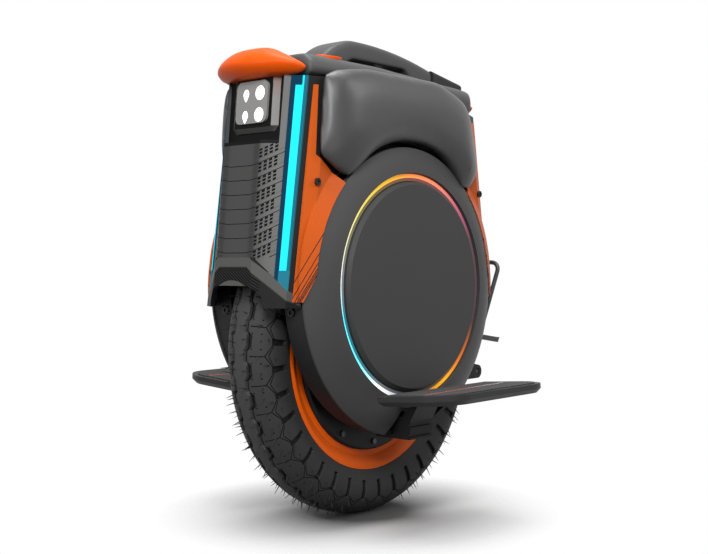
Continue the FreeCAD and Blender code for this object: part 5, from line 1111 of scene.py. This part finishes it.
@dataclass
class TreadTyre:
    """Tyre with zigzag grooves beside its middle rib and slots in its shoulders."""

    blocks: int = 38
    steps: int = 22
    rows: int = 96
    half_width: float = 0.034
    crown: float = 0.2075
    widest: float = 0.1775
    bead: float = 0.1518
    bead_half: float = 0.0262
    widest_share: float = 0.62
    roundness: float = 0.87
    groove_middle: float = 0.0118
    groove_swing: float = 0.0021
    groove_half: float = 0.0025
    groove_depth: float = 0.0045
    groove_foot: float = 0.2
    groove_sharpness: float = 2.4
    slot_half: float = 0.0044
    slot_high: float = 0.1875
    slot_low: float = 0.165
    slot_depth: float = 0.0036
    wall: float = 0.0009

    def section(self, share: float) -> Pair:
        """Place on the tyre's section.

        Args:
            share: 0 at the crown, 1 at the left bead and -1 at the right bead.

        Returns:
            Distance across and radius.
        """
        reach = min(abs(share), 1.0)
        if reach < self.widest_share:
            turn = reach / self.widest_share * math.pi / 2
            across = self.half_width * math.sin(turn) ** self.roundness
            radius = self.widest + (self.crown - self.widest) * math.cos(turn) ** self.roundness
        else:
            drop = (reach - self.widest_share) / (1.0 - self.widest_share)
            across = self.half_width - (self.half_width - self.bead_half) * drop ** 2
            radius = self.widest - (self.widest - self.bead) * drop
        return math.copysign(across, share), radius

    def depth(self, turn: float, across: float, radius: float) -> float:
        """Depth of the tread's cuts.

        Args:
            turn: Place within one block, from -0.5 to 0.5.
            across: Distance from the middle.
            radius: Radius of the uncut tyre.

        Returns:
            Depth below the uncut tyre.
        """
        def edge(room: float) -> float:
            return min(max(room / self.wall, 0.0), 1.0)

        wave = -min(max(self.groove_sharpness * math.cos(2 * math.pi * turn), -1.0), 1.0)
        middle = self.groove_middle + self.groove_swing * wave
        groove = edge(self.groove_half - abs(abs(across) - middle)) if radius > self.groove_foot else 0.0
        pitch = 2 * math.pi * self.crown / self.blocks
        slot = edge(self.slot_half - (0.5 - abs(turn)) * pitch)
        slot *= edge(radius - self.slot_low) * edge(self.slot_high - radius)
        return max(groove * self.groove_depth, slot * self.slot_depth)

    def block(self) -> Piece:
        """Model one block of the tread from bead to bead, at the top of a wheel about the origin.

        Returns:
            The block.
        """
        Bench.clear()
        bpy.ops.mesh.primitive_grid_add(x_subdivisions=self.steps, y_subdivisions=self.rows, size=1.0)
        block = bpy.context.object
        for vertex in block.data.vertices:
            turn, share = vertex.co.x, vertex.co.y * 2
            across, radius = self.section(share)
            before, after = self.section(share - 0.004), self.section(share + 0.004)
            slope = Vector((before[1] - after[1], after[0] - before[0])).normalized()
            depth = self.depth(turn, across, radius)
            angle = turn * 2 * math.pi / self.blocks
            radius -= depth * slope.y
            vertex.co = (radius * math.sin(angle), across - depth * slope.x, radius * math.cos(angle))
        return Bench.settle(block, "tread_block")

    def build(self, paint: Paintbox) -> None:
        """Set the blocks round the wheel and close the tyre inside.

        Args:
            paint: Finishes.
        """
        lift = Matrix.Translation((0.0, 0.0, AXLE_HEIGHT))
        step = 2 * math.pi / self.blocks
        places = [lift @ Matrix.Rotation((number + 0.5) * step, 4, "Y") for number in range(self.blocks)]
        tyre = Bench.repeat(self.block(), places, "tread_tyre")
        with Bench.editing(tyre):
            bpy.ops.mesh.remove_doubles(threshold=0.00004)
            bpy.ops.mesh.select_mode(type="EDGE")
            bpy.ops.mesh.select_all(action="DESELECT")
            bpy.ops.mesh.select_non_manifold(
                extend=False, use_wire=False, use_boundary=True, use_multi_face=False, use_non_contiguous=False,
                use_verts=False)
            bpy.ops.mesh.bridge_edge_loops()
            bpy.ops.mesh.select_all(action="SELECT")
            bpy.ops.mesh.normals_make_consistent(inside=False)
            bpy.ops.mesh.select_mode(type="VERT")
        bpy.ops.object.shade_smooth_by_angle(angle=math.radians(38))
        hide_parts("tyre")
        Bench.fit(tyre, paint, "tyre_rubber", "tyre", "wheel")


@dataclass
class TyreHairs:
    """Moulding hairs left on a new tyre."""

    count: int = 76
    radius: float = 0.00075
    length: float = 0.0125
    rows: tuple[Pair, ...] = (
        (0.0075, 0.2071), (0.0172, 0.2048), (0.0262, 0.1986), (0.0315, 0.1912), (0.0336, 0.183))
    lean: float = 0.35
    spread: float = 0.06
    flare: float = 0.8
    shoulder_flare: float = 1.6
    shoulder_share: float = 0.45
    ground_turn: float = 0.27
    ground_share: float = 0.07

    def places(self) -> list[Matrix]:
        """Where each hair stands.

        Returns:
            One matrix per hair.
        """
        rng = random.Random(11)
        result = []
        for index, (across, radius) in enumerate(self.rows):
            for side in Side:
                for number in range(self.count // (1 + index % 2)):
                    turn = 2 * math.pi * (number + rng.uniform(-0.2, 0.2)) * (1 + index % 2) / self.count
                    last = index == len(self.rows) - 1
                    flare = math.atan2(across, self.spread) * side.value
                    flare *= self.shoulder_flare if last else self.flare
                    round_axle = Vector((math.sin(turn), 0.0, math.cos(turn)))
                    out = round_axle * math.cos(flare) + Vector((0.0, math.sin(flare), 0.0))
                    bend = Vector((rng.uniform(-1, 1), rng.uniform(-1, 1), rng.uniform(-1, 1))) * self.lean
                    aim = (out + bend).to_track_quat("Z", "Y").to_matrix().to_4x4()
                    share = rng.uniform(0.55, 1.0)
                    if math.cos(turn) < -math.cos(self.ground_turn):
                        share = self.ground_share
                    elif last:
                        share *= self.shoulder_share
                    spot = round_axle * radius + Vector((0.0, across * side.value, AXLE_HEIGHT))
                    stretch = Matrix.Diagonal((1.0, 1.0, share, 1.0))
                    result.append(Matrix.Translation(spot) @ aim @ stretch)
        return result

    def build(self, paint: Paintbox) -> None:
        """Model one hair and set it all over the tread.

        Args:
            paint: Finishes.
        """
        Bench.clear()
        bpy.ops.mesh.primitive_cone_add(
            vertices=4, radius1=self.radius, radius2=self.radius * 0.25, depth=self.length,
            location=(0.0, 0.0, self.length / 2 - 0.0006))
        hair = Bench.settle(bpy.context.object, "hair")
        hairs = Bench.repeat(hair, self.places(), "tyre_hairs")
        Bench.fit(hairs, paint, "inner_rubber", "tyre", "wheel")


@dataclass
class Headlight:
    """Four lamps on the lens plate: two drops and two ovals."""

    bulge: float = 0.0016
    sunk: float = 0.0004
    drop_taper: float = 0.62
    drop_stretch: float = 1.12
    drops: tuple[Pair, ...] = ((-0.0093, 0.5022), (-0.0091, 0.4777))
    drop_size: Pair = (0.0043, 0.0068)
    ovals: tuple[Pair, ...] = ((0.0128, 0.5036), (0.0128, 0.4788))
    oval_size: Pair = (0.0071, 0.0082)

    def lamp(self, place: Pair, size: Pair, drop: bool) -> Piece:
        """Model one lamp.

        Args:
            place: Y and Z of its middle.
            size: Half width and half height.
            drop: True for a lamp that runs to a point below.

        Returns:
            The lamp.
        """
        Bench.clear()
        bpy.ops.mesh.primitive_uv_sphere_add(segments=32, ring_count=16, radius=1.0)
        lamp = bpy.context.object
        lamp.scale = (self.bulge, *size)
        Bench.settle(lamp, "lamp")
        if drop:
            for vertex in lamp.data.vertices:
                if vertex.co.z < 0.0:
                    vertex.co.y *= 1.0 + self.drop_taper * vertex.co.z / size[1]
                    vertex.co.z *= self.drop_stretch
        with Bench.editing(lamp):
            bpy.ops.mesh.bisect(
                plane_co=(-self.sunk, 0.0, 0.0), plane_no=(1.0, 0.0, 0.0), clear_inner=True, use_fill=True)
        lean = math.atan(NOSE_SLOPE)
        face = NOSE_FOOT - (place[1] - NOSE_FOOT_HEIGHT) * NOSE_SLOPE - LENS_SETBACK
        lamp.rotation_euler = (0.0, -lean, 0.0)
        lamp.location = (face, *place)
        bpy.ops.object.shade_smooth_by_angle(angle=math.radians(40))
        return Bench.settle(lamp, "lamp")

    def build(self, paint: Paintbox) -> None:
        """Make the lamps and join them.

        Args:
            paint: Finishes.
        """
        lamps = [self.lamp(place, self.drop_size, True) for place in self.drops]
        lamps += [self.lamp(place, self.oval_size, False) for place in self.ovals]
        joined = Bench.join(lamps, "headlight_bulbs")
        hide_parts("headlight_lamps")
        Bench.fit(joined, paint, "lamp_white", "lamp_white", "chassis")


@dataclass
class BodyScrews:
    """Socket screws of the frame and of the corner panels."""

    frame_radius: float = 0.005
    frame_height: float = 0.003
    panel_radius: float = 0.0044
    panel_height: float = 0.0024
    socket: float = 0.5
    bolt_across: float = 0.0527
    bolt_height: float = 0.2565
    panel_reach: float = 0.158
    panel_rise: float = 0.402

    def screw(self, radius: float, height: float) -> Piece:
        """Model one screw head with a hexagon socket, seated at the origin along Z.

        Args:
            radius: Radius of the head.
            height: Height of the head.

        Returns:
            The screw.
        """
        Bench.clear()
        bpy.ops.mesh.primitive_cylinder_add(
            vertices=36, radius=radius, depth=height, location=(0.0, 0.0, height / 2))
        screw = Bench.settle(bpy.context.object, "screw")
        bpy.ops.object.mode_set(mode="EDIT")
        shape = bmesh.from_edit_mesh(screw.data)
        for face in shape.faces:
            face.select_set(face.normal.z > 0.9)
        bmesh.update_edit_mesh(screw.data)
        bpy.ops.mesh.inset(thickness=radius * (1 - self.socket))
        bpy.ops.mesh.extrude_region_move(TRANSFORM_OT_translate={"value": (0.0, 0.0, -height * 0.7)})
        shape = bmesh.from_edit_mesh(screw.data)
        for vertex in shape.verts:
            flat = Vector((vertex.co.x, vertex.co.y))
            if flat.length < radius * 0.8:
                turn = math.atan2(flat.y, flat.x) % (math.pi / 3) - math.pi / 6
                flat = flat.normalized() * radius * self.socket * math.cos(math.pi / 6) / math.cos(turn)
                vertex.co.x, vertex.co.y = flat
        bmesh.update_edit_mesh(screw.data)
        bpy.ops.object.mode_set(mode="OBJECT")
        Bench.apply(screw, "BEVEL", width=radius * 0.08, segments=2, limit_method="ANGLE")
        return screw

    def build(self, paint: Paintbox) -> None:
        """Set the screws where the solids have them.

        Args:
            paint: Finishes.
        """
        low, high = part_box("body_screws")
        bolts = []
        for side in Side:
            for face, way in ((high.x - self.frame_height, 1.0), (low.x + self.frame_height, -1.0)):
                turn = Vector((way, 0.0, 0.0)).to_track_quat("Z", "Y").to_matrix().to_4x4()
                bolts.append(Matrix.Translation((face, self.bolt_across * side.value, self.bolt_height)) @ turn)
        frame_bolts = Bench.repeat(self.screw(self.frame_radius, self.frame_height), bolts, "frame_bolts")
        panels = []
        for side in Side:
            turn = Vector((0.0, side.value, 0.0)).to_track_quat("Z", "Y").to_matrix().to_4x4()
            seat = (high.y - self.panel_height) * side.value
            for reach in (self.panel_reach, -self.panel_reach):
                panels.append(Matrix.Translation((reach, seat, self.panel_rise)) @ turn)
        panel_screws = Bench.repeat(self.screw(self.panel_radius, self.panel_height), panels, "panel_screws")
        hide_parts("body_screws")
        for piece in (frame_bolts, panel_screws):
            Bench.fit(piece, paint, "bolt_black", "dark_steel", "chassis")


@dataclass
class Studio:
    """Pale floor, soft lamps and a camera at the photograph's view."""

    lens: float = 58.262
    sensor: float = 36.0
    eye: Triple = (1.098784, 0.933677, 0.311821)
    aim: Triple = (-0.7596, -0.6504, -0.0124)
    roll: float = -0.002
    floor_radius: float = 1.2
    floor_fade: tuple[tuple[float, Colour], ...] = ((0.05, (0, 0, 0)), (0.21, (1, 1, 1)))
    fill: tuple[tuple[float, Colour], ...] = ((0.4, (0.05, 0.05, 0.05)), (0.75, (1.0, 1.0, 1.0)))
    fill_strength: float = 0.2

    def camera(self) -> None:
        """Set the camera."""
        data = bpy.data.cameras.new("view")
        data.lens = self.lens
        data.sensor_width = self.sensor
        data.clip_start = 0.01
        made = bpy.data.objects.new("view", data)
        bpy.context.scene.collection.objects.link(made)
        turn = Vector(self.aim).to_track_quat("-Z", "Y").to_matrix().to_4x4()
        made.matrix_world = Matrix.Translation(self.eye) @ turn @ Matrix.Rotation(self.roll, 4, "Z")
        bpy.context.scene.camera = made

    def floor(self) -> bpy.types.Collection:
        """Lay a pale floor that fades into the background.

        Returns:
            A list of receivers that leaves the floor out, for lamps that would wash out its shadow.
        """
        Bench.clear()
        bpy.ops.mesh.primitive_circle_add(vertices=96, radius=self.floor_radius, fill_type="NGON")
        floor = Bench.settle(bpy.context.object, "floor")
        material, board = empty_material("floor_white")
        x, y, _ = board.axes(board.node("ShaderNodeTexCoord").outputs["Object"])
        far = board.math("SQRT", board.line(x, x, board.times(y, y)))
        fade = board.ramp(board.math("DIVIDE", far, self.floor_radius), self.floor_fade)
        pale = board.node("ShaderNodeBsdfDiffuse", {"Color": (0.9, 0.9, 0.9)})
        clear = board.node("ShaderNodeBsdfTransparent")
        mixed = board.node("ShaderNodeMixShader", {0: fade, 1: pale.outputs[0], 2: clear.outputs[0]})
        board.node("ShaderNodeOutputMaterial", {0: mixed.outputs[0]})
        floor.data.materials.append(material)
        spared = bpy.data.collections.new("floor_only")
        spared.objects.link(floor)
        spared.collection_objects[0].light_linking.link_state = "EXCLUDE"
        return spared

    def world(self) -> None:
        """White background for the camera, softer light for everything else."""
        world = bpy.data.worlds.new("studio")
        bpy.context.scene.world = world
        world.use_nodes = True
        world.node_tree.nodes.clear()
        board = Board(world.node_tree)
        path = board.node("ShaderNodeLightPath")
        seen = board.either(
            path.outputs["Is Camera Ray"], path.outputs["Is Transmission Ray"], path.outputs["Is Glossy Ray"])
        way = board.node("ShaderNodeTexCoord").outputs["Generated"]
        height = board.line(board.axes(way)[2], 0.5, 0.5)
        lit = board.node(
            "ShaderNodeBackground", {"Color": board.ramp(height, self.fill), "Strength": self.fill_strength})
        white = board.node("ShaderNodeBackground", {"Color": (1.0, 1.0, 1.0)})
        mixed = board.node("ShaderNodeMixShader", {0: seen, 1: lit.outputs[0], 2: white.outputs[0]})
        board.node("ShaderNodeOutputWorld", {0: mixed.outputs[0]})

    def lamp(self, name: str, place: Triple, size: float, power: float,
             spared: Optional[bpy.types.Collection] = None) -> None:
        """Hang a square soft lamp that looks at the machine.

        Args:
            name: Name of the lamp.
            place: Where it hangs.
            size: Width of its square in metres.
            power: Power in watts.
            spared: List of receivers that leaves out what the lamp doesn't light.
        """
        data = bpy.data.lights.new(name, "AREA")
        data.size = size
        data.energy = power
        made = bpy.data.objects.new(name, data)
        bpy.context.scene.collection.objects.link(made)
        made.location = place
        made.rotation_mode = "QUATERNION"
        made.rotation_quaternion = (Vector((0.0, 0.0, 0.3)) - Vector(place)).to_track_quat("-Z", "Y")
        made.visible_camera = False
        made.light_linking.receiver_collection = spared

    def build(self) -> None:
        """Make the whole studio."""
        bpy.context.scene.view_settings.view_transform = "Standard"
        self.camera()
        spared = self.floor()
        self.world()
        self.lamp("top_lamp", (0.05, 0.1, 1.9), 0.9, 29.0)
        self.lamp("key_lamp", (1.0, 0.8, 1.0), 0.5, 18.0, spared)
        self.lamp("front_lamp", (1.6, -0.1, 0.6), 0.6, 9.0, spared)
        self.lamp("side_lamp", (-0.6, 1.26, 1.2), 0.6, 8.0, spared)
        self.lamp("low_lamp", (0.5, 1.2, 0.12), 0.4, 1.4, spared)
        LOG.info("studio ready")


def write_sizes() -> None:
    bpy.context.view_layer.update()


def main() -> None:
    """Dress the machine and set the studio."""
    logging.basicConfig(level=logging.INFO, format="%(name)s %(message)s")
    paint = Paintbox()
    paint.dress()
    LegPads().build(paint)
    Covers().build(paint)
    TreadTyre().build(paint)
    TyreHairs().build(paint)
    Headlight().build(paint)
    BodyScrews().build(paint)
    Studio().build()
    write_sizes()


if __name__ == "__main__":
    main()
